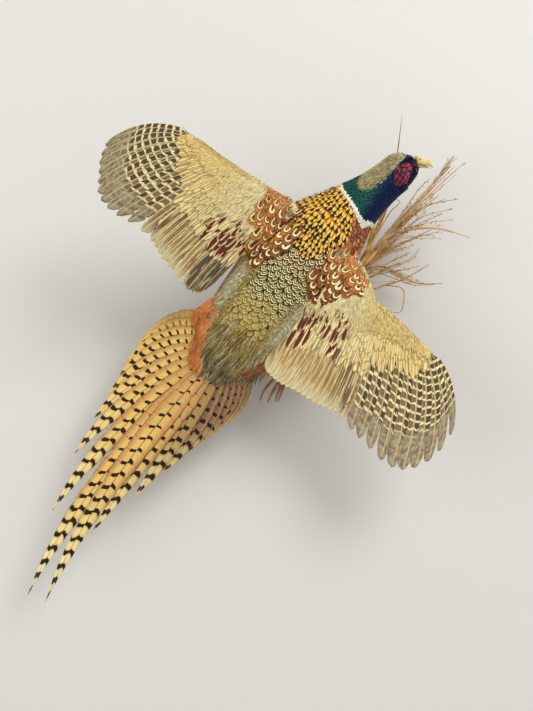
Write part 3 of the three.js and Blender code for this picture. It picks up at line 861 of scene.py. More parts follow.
class Nodes:
    """Short calls that add nodes to a tree; an input is a number, a colour or a Value."""

    def __init__(self, tree):
        self.tree = tree

    def put(self, socket, value):
        if isinstance(value, Value):
            self.tree.links.new(value.socket, socket)
        elif socket.type == "RGBA":
            socket.default_value = (*value, 1)
        else:
            socket.default_value = value

    def add(self, kind, inputs=(), **settings):
        node = self.tree.nodes.new(kind)
        for key, value in settings.items():
            setattr(node, key, value)
        for key, value in dict(inputs).items():
            self.put(node.inputs[key], value)
        return node

    def value(self, kind, inputs=(), output=0, **settings):
        return Value(self, self.add(kind, inputs, **settings).outputs[output])

    def math(self, operation, *values):
        return self.value("ShaderNodeMath", enumerate(values), operation=operation)

    def mix(self, share, a, b, blend="MIX"):
        return self.value("ShaderNodeMix", {0: share, 6: a, 7: b}, 2, data_type="RGBA",
                          blend_type=blend)

    def layers(self, shade, *layers):
        """Lays (share, colour) over a shade, one after another."""
        for share, over in layers:
            shade = self.mix(share, shade, over)
        return shade

    def noise(self, vector, scale=1.0, detail=3.0):
        inputs = {"Vector": vector, "Scale": scale, "Detail": detail}
        return self.value("ShaderNodeTexNoise", inputs)

    def stored(self, name, output="Fac"):
        return self.value("ShaderNodeAttribute", output=output, attribute_name=name)

    def join(self, *values):
        return self.value("ShaderNodeCombineXYZ", enumerate(values))

    def split(self, vector):
        made = self.add("ShaderNodeSeparateXYZ", {0: vector})
        return [Value(self, socket) for socket in made.outputs]

    def flat(self):
        return self.split(self.value("ShaderNodeUVMap", uv_map="Vane"))

    def spot(self):
        return self.value("ShaderNodeTexCoord", output="Object")

    def tint(self):
        return self.stored("tint", "Color")


def oval(x, y, centre, wide, tall, open_root=False):
    """1 on the edge of an oval on the vane, less inside it; a U where its root is open."""
    up = (y - centre) / tall
    up = up.most(0.0) if open_root else up
    out = x / wide
    return (up * up + out * out).math("SQRT")


VANE_OUTPUTS = ("Across", "Side", "Along", "Rim", "Barbs", "Seed", "First", "Second")


def vane_group():
    """What feather materials share: the place on the vane, its barbs and its traits."""
    name = "Vane"
    if name in bpy.data.node_groups:
        return bpy.data.node_groups[name]
    tree = bpy.data.node_groups.new(name, "ShaderNodeTree")
    for key in ("Count", "Slant"):
        tree.interface.new_socket(key, in_out="INPUT", socket_type="NodeSocketFloat")
    for key in VANE_OUTPUTS:
        tree.interface.new_socket(key, in_out="OUTPUT", socket_type="NodeSocketFloat")
    n = Nodes(tree)
    count, slant = (Value(n, s) for s in n.add("NodeGroupInput").outputs[:2])
    across, along, _ = n.flat()
    trait = n.split(n.stored("trait", "Vector"))
    across = across.fit(2.0, -1.0)
    side = abs(across)
    above = ((along - 0.55) / 0.45).most(0.0)
    rim = (side * side + above * above).math("SQRT")
    barbs = n.noise(n.join(across * 1.7, (along - side * slant) * count, trait[0] * 37.0))
    values = (across, side, along, rim, barbs, *trait)
    n.add("NodeGroupOutput", zip(VANE_OUTPUTS, values))
    return tree


def material_of(name, look, roughness, bump=None, **levels):
    """A material, made once. look(n) gives its colour and the height of its relief; bump is
    the relief's strength and its depth in mm."""
    if name in bpy.data.materials:
        return bpy.data.materials[name]
    material = bpy.data.materials.new(name)
    material.use_nodes = True
    n = Nodes(material.node_tree)
    shader = n.tree.nodes["Principled BSDF"]
    shade, height = look(n)
    levels = {"Base_Color": shade, "Roughness": roughness, **levels}
    for key, value in levels.items():
        n.put(shader.inputs[key.replace("_", " ")], value)
    if bump:
        relief = {"Strength": bump[0], "Distance": bump[1] * MM, "Height": height}
        n.put(shader.inputs["Normal"], n.value("ShaderNodeBump", relief))
    return material


def feather(name, pattern, count=40.0, slant=0.45, roughness=0.6, streak=0.5, relief=0.5,
            gloss=0.3):
    """A feather's surface: its pattern, with painted shade between the barbs, and ribbed by them.
    """
    def look(n):
        group = n.add("ShaderNodeGroup", {"Count": count, "Slant": slant},
                      node_tree=vane_group())
        place = {key.lower(): Value(n, group.outputs[key]) for key in VANE_OUTPUTS}
        v = SimpleNamespace(**place, tint=n.tint())
        # Painted shade: the colour is darkened between the barbs, as deep as streak says.
        barb_gap_shade = v.barbs.rise(0.3, 0.62).fit(streak, 1.0 - 0.62 * streak)
        return n.mix(1.0, pattern(n, v), barb_gap_shade, "MULTIPLY"), v.barbs

    return material_of(name, look, roughness, (relief, 0.6), Specular_IOR_Level=gloss)


def grain(n, v, across, along, seed, detail=3.0):
    """Blotches on a vane, this many to its width and length, its own on each feather."""
    return n.noise(n.join(v.across * across, v.along * along, v.seed * seed), 1.0, detail)


def shaded_towards_root(n, v, deep, low, high):
    """The tract's colour, multiplied by a deeper one towards the root as painted shade."""
    return n.mix(v.along.rise(low, high), n.mix(1.0, v.tint, deep, "MULTIPLY"), v.tint)


def plain_pattern(n, v):
    """Soft feathers: their region's colour, darker at the root with painted shade, paler at the
    tip.
    """
    shade = shaded_towards_root(n, v, (0.42, 0.38, 0.36), 0.15, 0.7)
    tips = v.seed.rise(0.3, 1.0) * v.along.rise(0.6, 1.0)
    return n.mix(tips, shade, n.mix(0.35, v.tint, ink.cream))


def down_pattern(n, v):
    """Pale silky feathers with little shadow between them."""
    shade = shaded_towards_root(n, v, (0.8, 0.72, 0.6), 0.1, 0.6)
    return n.mix(v.seed.rise(0.4, 1.0), shade, n.mix(0.4, v.tint, ink.cream))


def mantle_pattern(n, v):
    """Gold with a fine dark edge, pale streaks of painted highlight and a black wedge at the tip.
    """
    along, side = v.along, v.side
    # Painted highlight: a paler, yellower streak on each side of the shaft.
    highlight_streak = side.band(0.4, 0.17) * along.rise(0.55, 0.7)
    edge = v.rim.rise(0.88, 0.98).most(side.rise(0.7, 0.84))
    half = along.fit(1.45, v.seed.fit(0.16, -1.06))
    wedge = (side - half).rise(0.06, -0.04) * along.rise(0.68, 0.74)
    stem = side.rise(0.1, 0.04) * along.rise(0.5, 0.6)
    return n.layers(
        ink.amber, (along.rise(0.3, 0.78), ink.gold),
        (highlight_streak * v.seed.fit(0.6, 0.35), n.mix(0.5, ink.gold, (1.0, 0.86, 0.26))),
        (edge * 0.8, n.mix(0.5, ink.amber, ink.black)), (wedge.most(stem), ink.black))


def scapular_pattern(n, v):
    """A cream U open to the root, with a dark line on both sides and a chestnut to maroon
    rim, as the first trait says; the second fills the U in."""
    top = v.seed.fit(0.07, 0.61)
    outer = oval(v.side, v.along, top, 0.52, 0.18, True)
    inner = oval(v.side, v.along, top, 0.35, 0.105, True) + v.second
    streak = grain(n, v, 7.0, 2.2, 30.0)
    dark = n.mix(0.7, ink.maroon, ink.black)
    rim = n.mix(v.first, ink.chestnut, ink.maroon)
    rim = n.mix(streak.rise(0.46, 0.66) * 0.7, rim, n.mix(v.first.fit(-0.45, 0.8), rim, ink.gold))
    rim = n.mix(streak.rise(0.44, 0.34), rim, n.mix(0.6, rim, dark))
    core = n.layers(dark, (streak.rise(0.4, 0.6), n.mix(0.5, ink.chestnut, rim)),
                    (inner.rise(0.55, 0.85), ink.black))
    shade = n.layers(ink.cream, (inner.rise(1.05, 0.96), core), (outer.rise(0.97, 1.04), dark),
                     (outer.rise(1.12, 1.28), rim))
    return n.mix(v.along.rise(0.4, 0.54), n.mix(0.4, rim, dark), shade)


def back_pattern(n, v):
    """Thin black and pale lines round the tip, broken into flecks where the first trait is
    low, on the colour of the tract."""
    rim, black = v.rim, n.mix(0.6, ink.sage, ink.black)
    spot = grain(n, v, 2.4, 8.0, 50.0, 2.0)
    clear = (v.first + (spot - 0.5) * 3.0).rise(0.2, 0.7)
    pale = rim.band(0.36, 0.07).most(rim.band(0.7, 0.09))
    line = rim.band(0.52, 0.1).most(rim.band(0.88, 0.09), rim.rise(0.26, 0.18))
    strong = clear.fit(0.82, 0.18)
    bright = n.mix(0.22, ink.cream, n.mix(0.5, v.tint, (0.7, 0.74, 0.14)))
    dark = n.mix(v.first.rise(0.0, 0.5), black, n.mix(0.8, ink.sage, (0.0, 0.004, 0.01)))
    return n.layers(v.tint, (pale * strong, bright), (line * strong, dark),
                    (v.along.rise(0.56, 0.36), n.mix(0.75, ink.sage, ink.black)))


def scaled_pattern(n, v):
    """Breast and flank feathers: plain with painted shade towards the root, and with a dark rim."""
    tip = v.rim.rise(0.78, 0.9) * v.along.rise(0.6, 0.7)
    return n.mix(tip * v.first, shaded_towards_root(n, v, (0.5, 0.4, 0.35), 0.3, 0.7), ink.black)


def covert_pattern(n, v):
    """Long wing coverts, streaked from root to tip with pale edges and shaft. The first trait
    is how strong their maroon blotch is, the second how brown they are."""
    side = v.side
    streak = grain(n, v, 4.5, 1.6, 40.0)
    brown = n.mix(v.second, n.mix(0.5, v.tint, ink.buff), ink.umber)
    pale = side.rise(0.52, 0.74).most(side.rise(0.17, 0.08))
    # The dark line at the vane's edge is painted shade between neighbouring feathers.
    line = side.band(0.9, 0.1).most(side.band(0.24, 0.07) * 0.7)
    blot = oval(v.across - 0.18, v.along, v.seed.fit(0.14, 0.66), 0.46, 0.24)
    blot = blot + (streak - 0.5) * 1.6
    return n.layers(
        brown, (streak.rise(0.44, 0.56), v.tint), (pale, n.mix(0.6, v.tint, ink.cream)),
        (line * 0.7, n.mix(0.5, ink.umber, ink.buff)), (blot.rise(1.1, 0.9) * v.first, ink.maroon))


def glossy_pattern(n, v):
    """Close silky feathers, darkened with painted shade between their tips."""
    return shaded_towards_root(n, v, (0.55, 0.6, 0.7), 0.4, 0.8)


def white_pattern(n, v):
    # The collar's white, greyed towards the root with painted shade.
    return n.mix(v.along.rise(0.1, 0.5), n.mix(0.12, ink.collar, ink.sage), ink.collar)


def flight_pattern(n, v):
    """Wing quills. The first trait is 1 on a primary and 0 on a secondary. The second is how
    far along the vane a primary's bars run, how streaked a secondary is, or below zero how
    dark."""
    along, across, side = v.along, v.across, v.side
    drift = grain(n, v, 1.6, 30.0, 9.0, 2.0)
    wave = ((along + (drift - 0.5) * 0.06) * n.stored("bars")).math("COSINE")
    ends = (along + drift * 0.16 - v.second).rise(0.12, 0.0)
    bars = (wave + (drift - 0.5) * 0.8).rise(0.5, 0.78) * ends
    dark = n.mix(across.rise(-0.35, 0.3), n.mix(0.3, ink.umber, ink.buff),
                 n.mix(0.45, ink.umber, ink.black))
    tip = n.mix(drift.rise(0.3, 0.7), n.mix(0.25, ink.umber, ink.buff),
                n.mix(0.45, ink.umber, ink.ash))
    lines = side.rise(0.84, 0.97).most(side.rise(0.12, 0.06))
    primary = n.layers(tip, (ends, dark), (bars * 0.95, ink.cream),
                       (lines * 0.9, n.mix(0.65, ink.buff, ink.cream)))
    marble, streak = grain(n, v, 4.0, 7.0, 60.0, 4.0), grain(n, v, 5.0, 2.0, 80.0)
    web = n.mix(across.rise(-0.2, 0.3), n.mix(0.45, ink.buff, ink.umber),
                n.mix(0.12, ink.buff, ink.umber))
    streaked = streak.rise(0.5, 0.42) * v.second.rise(0.1, 0.9)
    tertial = n.mix(marble.rise(0.54, 0.68), n.mix(0.38, ink.umber, ink.black),
                    n.mix(0.45, ink.umber, ink.sand))
    web = n.layers(
        web, (marble.rise(0.5, 0.62) * 0.5, ink.sand),
        (marble.rise(0.45, 0.36) * along.rise(0.95, 0.6), n.mix(0.7, ink.buff, ink.umber)),
        (streaked * 0.85, n.mix(0.35, ink.umber, ink.black)),
        (along.rise(0.82, 1.0) * 0.6, ink.ash), (v.second.rise(0.0, -0.8), tertial))
    inner = v.second.rise(0.0, -0.6)
    edge = (side - inner.fit(0.13, 0.75)).rise(0.0, 0.1)
    edge = edge.most(side.rise(0.12, 0.06), along.rise(0.96, 0.985) * 0.5)
    pale = n.mix(inner * 0.6, n.mix(0.55, ink.straw, ink.cream), ink.buff)
    return n.mix(v.first, n.mix(edge * 0.88, web, pale), primary)


def tail_pattern(n, v):
    """Gold with black half bars that step across the shaft and widen towards the tip. The
    first trait is 0 on a middle feather and 1 on the outermost, the second is 1 on the
    bird's right, where it darkens the outer feathers with painted shade."""
    along, side, outer = v.along, v.side, v.first
    step = v.across.rise(-0.03, 0.03) * along.rise(0.85, 0.6)
    drift = grain(n, v, 1.5, 30.0, 20.0, 2.0)
    run = along * along.fit(-0.22, 1.0)
    bent = (v.across * 3.2).math("SINE") * 0.09
    level = run * n.stored("bars") + bent + (step * 0.2 + (drift - 0.5) * 0.36)
    far = abs((level - side * 0.1 + v.seed).math("FRACT") - 0.5)
    grown = along.rise(outer.fit(-0.3, 0.1), 0.55)
    middle = outer.fit(-1.0, 1.0)
    thick = grown.fit(0.08, (along.rise(0.7, 1.0) * middle).fit(0.06, 0.075))
    reach = (along.rise(0.4, 0.75) * middle).fit(0.5, grown.fit(0.12, 0.42))
    ends = side - (reach + (drift - 0.5) * 0.5)
    solid = (far - thick).rise(0.02, -0.02) * ends.rise(0.06, -0.04)
    solid = solid * outer.rise(0.82, 0.95).fit(-0.75, 1.0)
    trail = far.rise(0.055, 0.02) * ends.rise(-0.05, 0.1) * along.rise(0.85, 0.6)
    rosy = n.mix(0.4, ink.mauve, ink.tail)
    olive = n.mix(0.5, ink.buff, ink.olive)
    # Painted shade over the outer feathers of the right half of the tail.
    right_side_shade = v.second * outer.rise(0.05, 0.4)
    fringe = n.mix(right_side_shade * 0.8, n.mix(outer, rosy, olive), n.mix(0.35, ink.umber, rosy))
    bare = outer.rise(0.82, 0.95) * along.rise(0.9, 0.6)
    edge = side.rise(0.35, 0.8) * along.rise(0.95, 0.5)
    speck = grain(n, v, 4.0, 200.0, 70.0)
    pale = far.rise(0.16, 0.34) * along.rise(0.45, 0.85)
    pale = pale * n.math("MAXIMUM", 0.0, outer.fit(-1.5, 0.9))
    glow = far.rise(0.26, 0.14) * side.rise(0.4, 0.7) * along.rise(0.95, 0.6)
    ground = n.layers(
        ink.tail, (along.rise(0.35, 0.1) * 0.6, rosy),
        (right_side_shade * along.rise(1.1, 0.6), n.mix(0.3, ink.umber, ink.mauve)),
        (bare * 0.6, olive), (edge * 0.9, fringe), (speck.rise(0.55, 0.7) * 0.25, olive),
        (pale, ink.cream), (glow * outer.fit(-0.4, 0.4), ink.rust),
        (trail * 0.4, n.mix(0.5, ink.maroon, ink.umber)))
    dark = n.mix(along.rise(0.85, 1.0), ink.black, n.mix(0.5, ink.black, ink.umber))
    return n.mix(solid, ground, dark)


def shaft_pattern(n, v):
    return n.mix(v.along.rise(0.5, 1.0) * 0.6, v.tint, ink.umber)


# streak is how deep the painted shade between the barbs is.
PATTERNS = {
    "plain": dict(pattern=plain_pattern, count=9, slant=0.1, streak=0.55, roughness=0.75),
    "down": dict(pattern=down_pattern, count=7, slant=0.1, streak=0.3, roughness=0.7,
                 relief=0.3),
    "mantle": dict(pattern=mantle_pattern, count=26, slant=0.5, streak=0.4),
    "scapular": dict(pattern=scapular_pattern, count=34, slant=0.5, streak=0.3),
    "back": dict(pattern=back_pattern, count=26, slant=0.5, streak=0.4),
    "scaled": dict(pattern=scaled_pattern, count=26, slant=0.5, streak=0.45),
    "covert": dict(pattern=covert_pattern, count=50, slant=0.35, streak=0.4),
    "glossy": dict(pattern=glossy_pattern, count=10, slant=0.4, streak=0.3, roughness=0.5,
                   gloss=0.18, relief=0.3),
    "white": dict(pattern=white_pattern, count=8, slant=0.2, streak=0.12, relief=0.3),
    "flight": dict(pattern=flight_pattern, count=110, slant=0.07, streak=0.25, relief=0.3),
    "tail": dict(pattern=tail_pattern, count=240, slant=0.05, streak=0.22, relief=0.3),
    "shaft": dict(pattern=shaft_pattern, count=30, slant=0.0, streak=0.15, relief=0.1,
                  roughness=0.4),
}


def coat(name):
    """A feather material by its name in PATTERNS."""
    return feather("Feathers_" + name, **PATTERNS[name])


def skin_look(n):
    grain_of = n.noise(n.spot(), 900.0)
    tint = n.tint()
    return n.mix(grain_of.rise(0.3, 0.7), tint, n.mix(0.4, tint, ink.skin)), grain_of


def wattle_look(n):
    pits = n.noise(n.spot(), 1400.0)
    tint = n.tint()
    return n.mix(pits.rise(0.35, 0.7), tint, n.mix(0.45, tint, ink.black)), pits


def eye_look(n):
    out = n.flat()[1]
    iris = n.mix(out.rise(0.24, 0.34), (0.06, 0.022, 0.01), (0.16, 0.06, 0.02))
    shade = n.mix(out.rise(0.18, 0.2), (0.002, 0.002, 0.002), iris)
    return n.mix(out.rise(0.30, 0.36), shade, (0.03, 0.012, 0.008)), None


def bill_look(n):
    round_it, along, _ = n.flat()
    lines = n.noise(n.join(round_it * 9.0, along * 2.0), 2.0, 4.0)
    side = abs(round_it - 0.75)
    nostril = oval(side - 0.13, along, 0.15, 0.024, 0.06)
    horn = n.mix(lines.rise(0.35, 0.7), (0.84, 0.62, 0.19), (0.98, 0.84, 0.40))
    # Painted shade: darker at the base where the bill meets the face, darker and more orange away
    # from its top, and the nostril a dark oval.
    return n.layers(horn, (along.rise(0.09, 0.02), (0.56, 0.40, 0.16)),
                    (side.rise(0.13, 0.24) * 0.6, (0.72, 0.42, 0.10)),
                    (nostril.rise(1.2, 0.7), (0.24, 0.14, 0.05))), lines


def leg_look(n):
    cells = n.value("ShaderNodeTexVoronoi", {"Vector": n.spot(), "Scale": 420.0},
                    feature="DISTANCE_TO_EDGE")
    edge, tint = cells.rise(0.0, 0.25), n.tint()
    return n.mix(edge, n.mix(0.6, tint, (0.05, 0.04, 0.03)), tint), edge


def straw_look(n):
    round_it, along, _ = n.flat()
    lines, tint = n.noise(n.join(round_it * 26.0, along * 3.0), 1.0, 4.0), n.tint()
    return n.mix(lines.rise(0.35, 0.65), n.mix(1.0, tint, (0.5, 0.4, 0.3), "MULTIPLY"),
                 tint), lines


def wood_look(n):
    x, y, z = n.split(n.spot())
    lean, cross = x * 0.63 + z * 0.78, x * 0.78 - z * 0.63
    rings = n.noise(n.join(lean * 12.0, cross * 170.0, y * 90.0), 1.0, 5.0)
    return n.mix(rings.rise(0.3, 0.7), (0.11, 0.055, 0.025), (0.27, 0.15, 0.075)), rings


FINISHES = {
    "Skin": (skin_look, 0.7, (0.4, 0.4)),
    "Wattle": (wattle_look, 0.55, (0.4, 0.3)),
    "Eye": (eye_look, 0.12, None),
    "Horn": (bill_look, 0.35, (0.15, 0.3)),
    "Leg_scales": (leg_look, 0.55, (0.5, 0.5)),
    "Straw": (straw_look, 0.5, (0.4, 0.4)),
    "Wood": (wood_look, 0.5, (0.3, 0.6)),
}
EXTRAS = {"Eye": {"Coat_Weight": 0.5, "Coat_Roughness": 0.03}, "Horn": {"Subsurface_Weight": 0.1}}


def look_of(name):
    """The material of what wears no feathers, by its name in FINISHES."""
    return material_of(name, *FINISHES[name], **EXTRAS.get(name, {}))


def steel():
    material = material_of("Steel", lambda n: ((0.5, 0.5, 0.51), None), 0.5, Metallic=1.0)
    n = Nodes(material.node_tree)
    x, y, z = n.split(n.spot())
    lines = n.noise(n.join(x, y * 40.0, z), 60.0)
    n.put(n.tree.nodes["Principled BSDF"].inputs["Roughness"], lines.fit(0.25, 0.25))
    return material


# ---- skin and face -----------------------------------------------------------------------
def mesh_of(name, bm):
    mesh = bpy.data.meshes.new(name)
    bmesh.ops.recalc_face_normals(bm, faces=bm.faces)
    bm.to_mesh(mesh)
    bm.free()
    return mesh


def closed_tube(section, rows, place):
    """A closed tube whose corners are put by place(angle, share)."""
    template = tube_template(round_section(section), rows)
    return template, place(template.angle, template.along)


def coat_depth(place):
    """How far the skin lies inside the solids, in mm."""
    return mixed(size("coat_depth"), size("neck_depth"), soft(place, 6.8, 7.8))


def shrunk_body(angle, share):
    place = mixed(0.12, NOSE - 0.1, share)
    depth = coat_depth(place)
    ends = np.sqrt(np.clip(np.minimum(share / 0.05, (1 - share) / 0.035), 0, 1))
    middle = BODY.middle(place)
    skin = BODY.raised(place, angle, -depth)
    return middle + (skin - middle) * np.maximum(ends, 0.02)[..., None]


LEG = {"knee": 52, "side": 28, "off": 43, "tarsus": 66, "ankle": 8,
       "thigh": (17, 20, 12, 6.5), "shank": (4.2, 3.1, 4.2), "toe": (3.6, 2.6, 2.0, 1.3)}
TOES = ((-16, 34, 5), (0, 44, 2), (16, 32, 5), (6, 16, 13))
HIP = ((16, 40, 66), (-8, 36, 54), (-34, 31, 46), (-52, 28, 43))


def from_body(ahead, side, off):
    """A place under the body: mm ahead of its middle, out to its right and off the wall."""
    middle, forward, _, right, _ = BODY.frame(np.array(3.4))
    flat = unit(right * np.array([1.0, 0.0, 1.0]))
    place = middle + forward * ahead + flat * side
    return np.array([place[0], -off, place[2]])


def thigh(side):
    path = [from_body(ahead, side * out, off) for ahead, out, off in HIP]
    return Limb(path, LEG["thigh"])


def arm_bone(wing):
    """A rod through the thick part of a wing's arm."""
    span = np.linspace(0.16, WRIST, 5)
    above, below = wing.point(span, np.full(5, 0.13)), wing.point(span, np.full(5, -0.13))
    radii = np.linalg.norm(above - below, axis=1) * 0.5 - 1.6
    return Limb((above + below) / 2, np.maximum(radii, 1.8))


def tube_into(bm, template, points):
    verts = [bm.verts.new(p * MM) for p in points.reshape(-1, 3)]
    for ring in template.rings():
        bm.faces.new([verts[k] for k in ring])


def eye_frame(side):
    """The middle of an eye and the line it looks along."""
    middle, ahead, up, right, _ = BODY.frame(np.array(float(EYE_PLACE)))
    spot = middle + ahead * EYE["ahead"] + right * side * EYE["out"] + up * EYE["up"]
    looks = unit(right * side + up * 0.22 + ahead * 0.05)
    return spot, looks, ahead


def nearest_body(points):
    """The place and angle on the body nearest to each point."""
    place, angle = np.meshgrid(np.linspace(0, NOSE, 261), np.linspace(-np.pi, np.pi, 181),
                               indexing="ij")
    place, angle = place.ravel(), angle.ravel()
    net = KDTree(len(place))
    for k, spot in enumerate(BODY.point(place, angle)):
        net.insert(spot, k)
    net.balance()
    pick = np.array([net.find(p)[1] for p in points])
    return place[pick], angle[pick]


def skin_mesh():
    bm = bmesh.new()
    parts = [closed_tube(64, 160, shrunk_body)]
    for side in (-1, 1):
        template = tube_template(round_section(16), 14)
        limb = thigh(side)
        limb.radii = limb.radii - (3.5, 4, 3, 2)
        parts.append((template, limb.corners(template)))
    for name in WINGS:
        parts.append((template, arm_bone(Wing(name)).corners(template)))
    for template, points in parts:
        tube_into(bm, template, points)
    rough = new_object("Skin_rough", mesh_of("Skin_rough", bm))
    remesh = rough.modifiers.new("Remesh", "REMESH")
    remesh.mode = "VOXEL"
    remesh.voxel_size = 1.9 * MM
    smooth = rough.modifiers.new("Smooth", "SMOOTH")
    smooth.iterations = 4
    made = bpy.data.meshes.new_from_object(
        rough.evaluated_get(bpy.context.evaluated_depsgraph_get()))
    bpy.data.objects.remove(rough)
    return made


def values_of(items, key, kind=float, width=1):
    """One property of all the points, corners or faces of a mesh."""
    made = np.zeros(len(items) * width, kind)
    items.foreach_get(key, made)
    return made


def seat_eyes(points):
    """Presses the skin in behind each eyeball."""
    for side in (-1, 1):
        spot, looks, _ = eye_frame(side)
        away = points - spot
        far = np.linalg.norm(away, axis=1)
        inside = far < EYE["radius"] + 0.15
        flat = away - looks * dot(away, looks)[:, None]
        reach = np.linalg.norm(flat, axis=1)
        depth = np.sqrt(np.maximum(0, (EYE["radius"] + 0.15) ** 2 - reach ** 2))
        points[inside] = (spot + flat - looks * depth[:, None])[inside]
    return points


def make_skin():
    mesh = skin_mesh()
    mesh.name = "Skin"
    points = seat_eyes(mm(values_of(mesh.vertices, "co", width=3).reshape(-1, 3)))
    mesh.vertices.foreach_set("co", (points * MM).astype(np.float32).ravel())
    mesh.update()
    place, angle = nearest_body(points)
    tint = body_tint(place, np.degrees(angle))
    under = mixed(tint, ink.skin, 0.25)
    add_values(mesh, "tint", "FLOAT_COLOR",
               np.concatenate([under, np.ones((len(under), 1))], 1))
    loops = values_of(mesh.loops, "vertex_index", np.int32)
    flat = body_patch(place, angle)[loops]
    starts = values_of(mesh.polygons, "loop_start", np.int32)
    first = np.repeat(flat[starts, 1], np.diff(np.append(starts, len(loops))))
    flat[:, 1] -= np.round(flat[:, 1] - first)
    bake_map(mesh, flat)
    mesh.polygons.foreach_set("use_smooth", np.ones(len(mesh.polygons), bool))
    finish(new_object("Skin", mesh), look_of("Skin"),
           ("trunk", "neck", "head", "thigh_left", "thigh_right"))


def around_eye(side, ahead, down):
    """The body place and angle that lie mm ahead of an eye and mm below it."""
    place = EYE_PLACE + EYE["ahead"] / FACE_STEP + np.asarray(ahead) / FACE_STEP
    angle = math.radians(EYE["angle"]) + np.asarray(down) / FACE_RADIUS
    return place, side * angle


WATTLE = ((-3.0, 6.0, 12.5, 13.5), (7.0, -0.5, 9.5, 8.0))


def wattle_share(ahead, down):
    """Above 1 outside the bare skin round the eye, below 1 inside it."""
    ovals = [np.hypot((ahead - a) / wide, (down - d) / tall) for a, d, wide, tall in WATTLE]
    return np.minimum(*ovals)


def wattle_at(place, angle):
    """wattle_share for a place on the body; angle in degrees."""
    ahead = (place - EYE_PLACE - EYE["ahead"] / FACE_STEP) * FACE_STEP
    down = np.radians(np.abs(angle) - EYE["angle"]) * FACE_RADIUS
    return wattle_share(ahead, down)


def make_wattles():
    draw = np.random.default_rng(SEED + 1)
    material = look_of("Wattle")
    for side, name in SIDES:
        pad = bead_template(5)
        points = []
        for a, d, wide, tall in WATTLE:
            place, angle = around_eye(side, a + pad.across * wide, d + pad.along * tall)
            bare = np.hypot(pad.across * wide + a, pad.along * tall + d)
            lift = np.where(pad.keel > 0, 0.2 * pad.keel, 1.8 * pad.keel)
            lift = lift - 2.2 * (1 - soft(bare, 3.2, 6.0)) - coat_depth(11) * 0.35
            points.append(BODY.raised(place, angle, lift))
        flat = np.stack([pad.across, pad.along], -1) * 0.5 + 0.5
        centre = body_patch(np.full(2, 11.0), np.radians(np.full(2, 75.0 * side)))
        # The pad between the beads is darkened as painted shade.
        dark = mixed(ink.wattle, linear(0x241430), 0.6)
        obj = joined("Wattle_pad_" + name, pad, np.array(points), dark, flat, centre,
                     patch_size=0.06)
        finish(obj, material)
        bead = bead_template(2)
        grid = np.stack(np.meshgrid(np.arange(-17, 18, 1.2), np.arange(-9, 21, 1.05)), -1)
        grid[1::2, :, 0] += 0.6
        spots = grid.reshape(-1, 2) + (draw.random((grid.size // 2, 2)) - 0.5) * 0.7
        edge = 1 + (draw.random(len(spots)) - 0.5) * 0.2
        spots = spots[(wattle_share(*spots.T) < edge) & (np.hypot(*spots.T) > 4.6)]
        place, angle = around_eye(side, *spots.T)
        middle = BODY.raised(place, angle, np.full(len(place), -coat_depth(11) * 0.35 - 0.15))
        across, down = BODY.tangents(place, angle)
        out = unit(np.cross(across, down)) * -1
        radius = (0.5 + 0.45 * draw.random(len(place)))[:, None, None]
        body = np.stack([bead.across, bead.along, bead.keel], -1)[None] * radius
        tall = 1.1 + 0.9 * draw.random(len(place))[:, None, None]
        body = body + out[:, None] * dot(body, out[:, None])[..., None] * (tall - 1)
        # Painted shade darkens the beads towards the rear and in blotches; glow is a painted
        # highlight where the blotches are light.
        a, d = spots.T
        patchy = np.sin(a * 0.55 + d * 0.35 + side) * np.sin(a * 0.3 - d * 0.6 + 2)
        depth = 0.5 * soft(-a, -3, 11) + 0.9 * patchy + spread(draw, len(place), 0.4)
        shade = mixed(ink.wattle, linear(0x1A1026), np.clip(depth + 0.3, 0, 1)[:, None])
        glow = np.clip(-depth * 1.4, 0, 0.7)[:, None]
        shade = mixed(shade, linear(0xE25C74), glow)
        flat = np.stack([bead.across, bead.along], -1) * 0.5 + 0.5
        obj = joined("Wattle_beads_" + name, bead, middle[:, None] + body, shade, flat,
                     body_patch(place, angle), with_seed(draw, len(place)))
        finish(obj, material)


def make_eyes():
    material = look_of("Eye")
    lid_paint = look_of("Wattle")
    for side, name in SIDES:
        spot, looks, ahead = eye_frame(side)
        forward = unit(ahead - looks * dot(ahead, looks))
        below = np.cross(looks, forward)
        template = tube_template(round_section(40), 32)
        turn, polar = template.angle, template.along * np.pi
        ball = swung(looks, swung(forward, below, turn) * 0.9999, polar)
        radius = EYE["radius"] + 0.35 * np.exp(-(polar / 0.5) ** 2)
        points = (spot + ball * radius[:, None])[None]
        obj = joined("Eye_" + name, template, points, (0.1, 0.04, 0.02), template.unrolled,
                     patch_size=1.0)
        finish(obj, material, ("eye_" + name,))
        section = tube_template(round_section(12), 64)
        around = section.along * math.tau * 0.9999
        roll = section.angle
        open_half = 3.7 - 0.7 * np.abs(np.sin(around)) ** 1.4
        tilt = np.arcsin(open_half / (EYE["radius"] + 0.1))
        ring = swung(forward, below, around)
        seat, slope = swung(looks, ring, tilt), swung(ring, -looks, tilt)
        thick = 0.32
        rim = (seat * (EYE["radius"] + 0.3) + slope * (0.35 + thick * np.cos(roll) * 1.5)[:, None]
               + seat * (thick * np.sin(roll))[:, None])
        obj = joined("Eyelid_" + name, section, (spot + rim)[None],
                     mixed(ink.wattle, linear(0x3A2030), 0.4), section.unrolled[:, ::-1],
                     [body_patch(11.13, math.radians(69.0 * side))], patch_size=0.02)
        finish(obj, lid_paint)


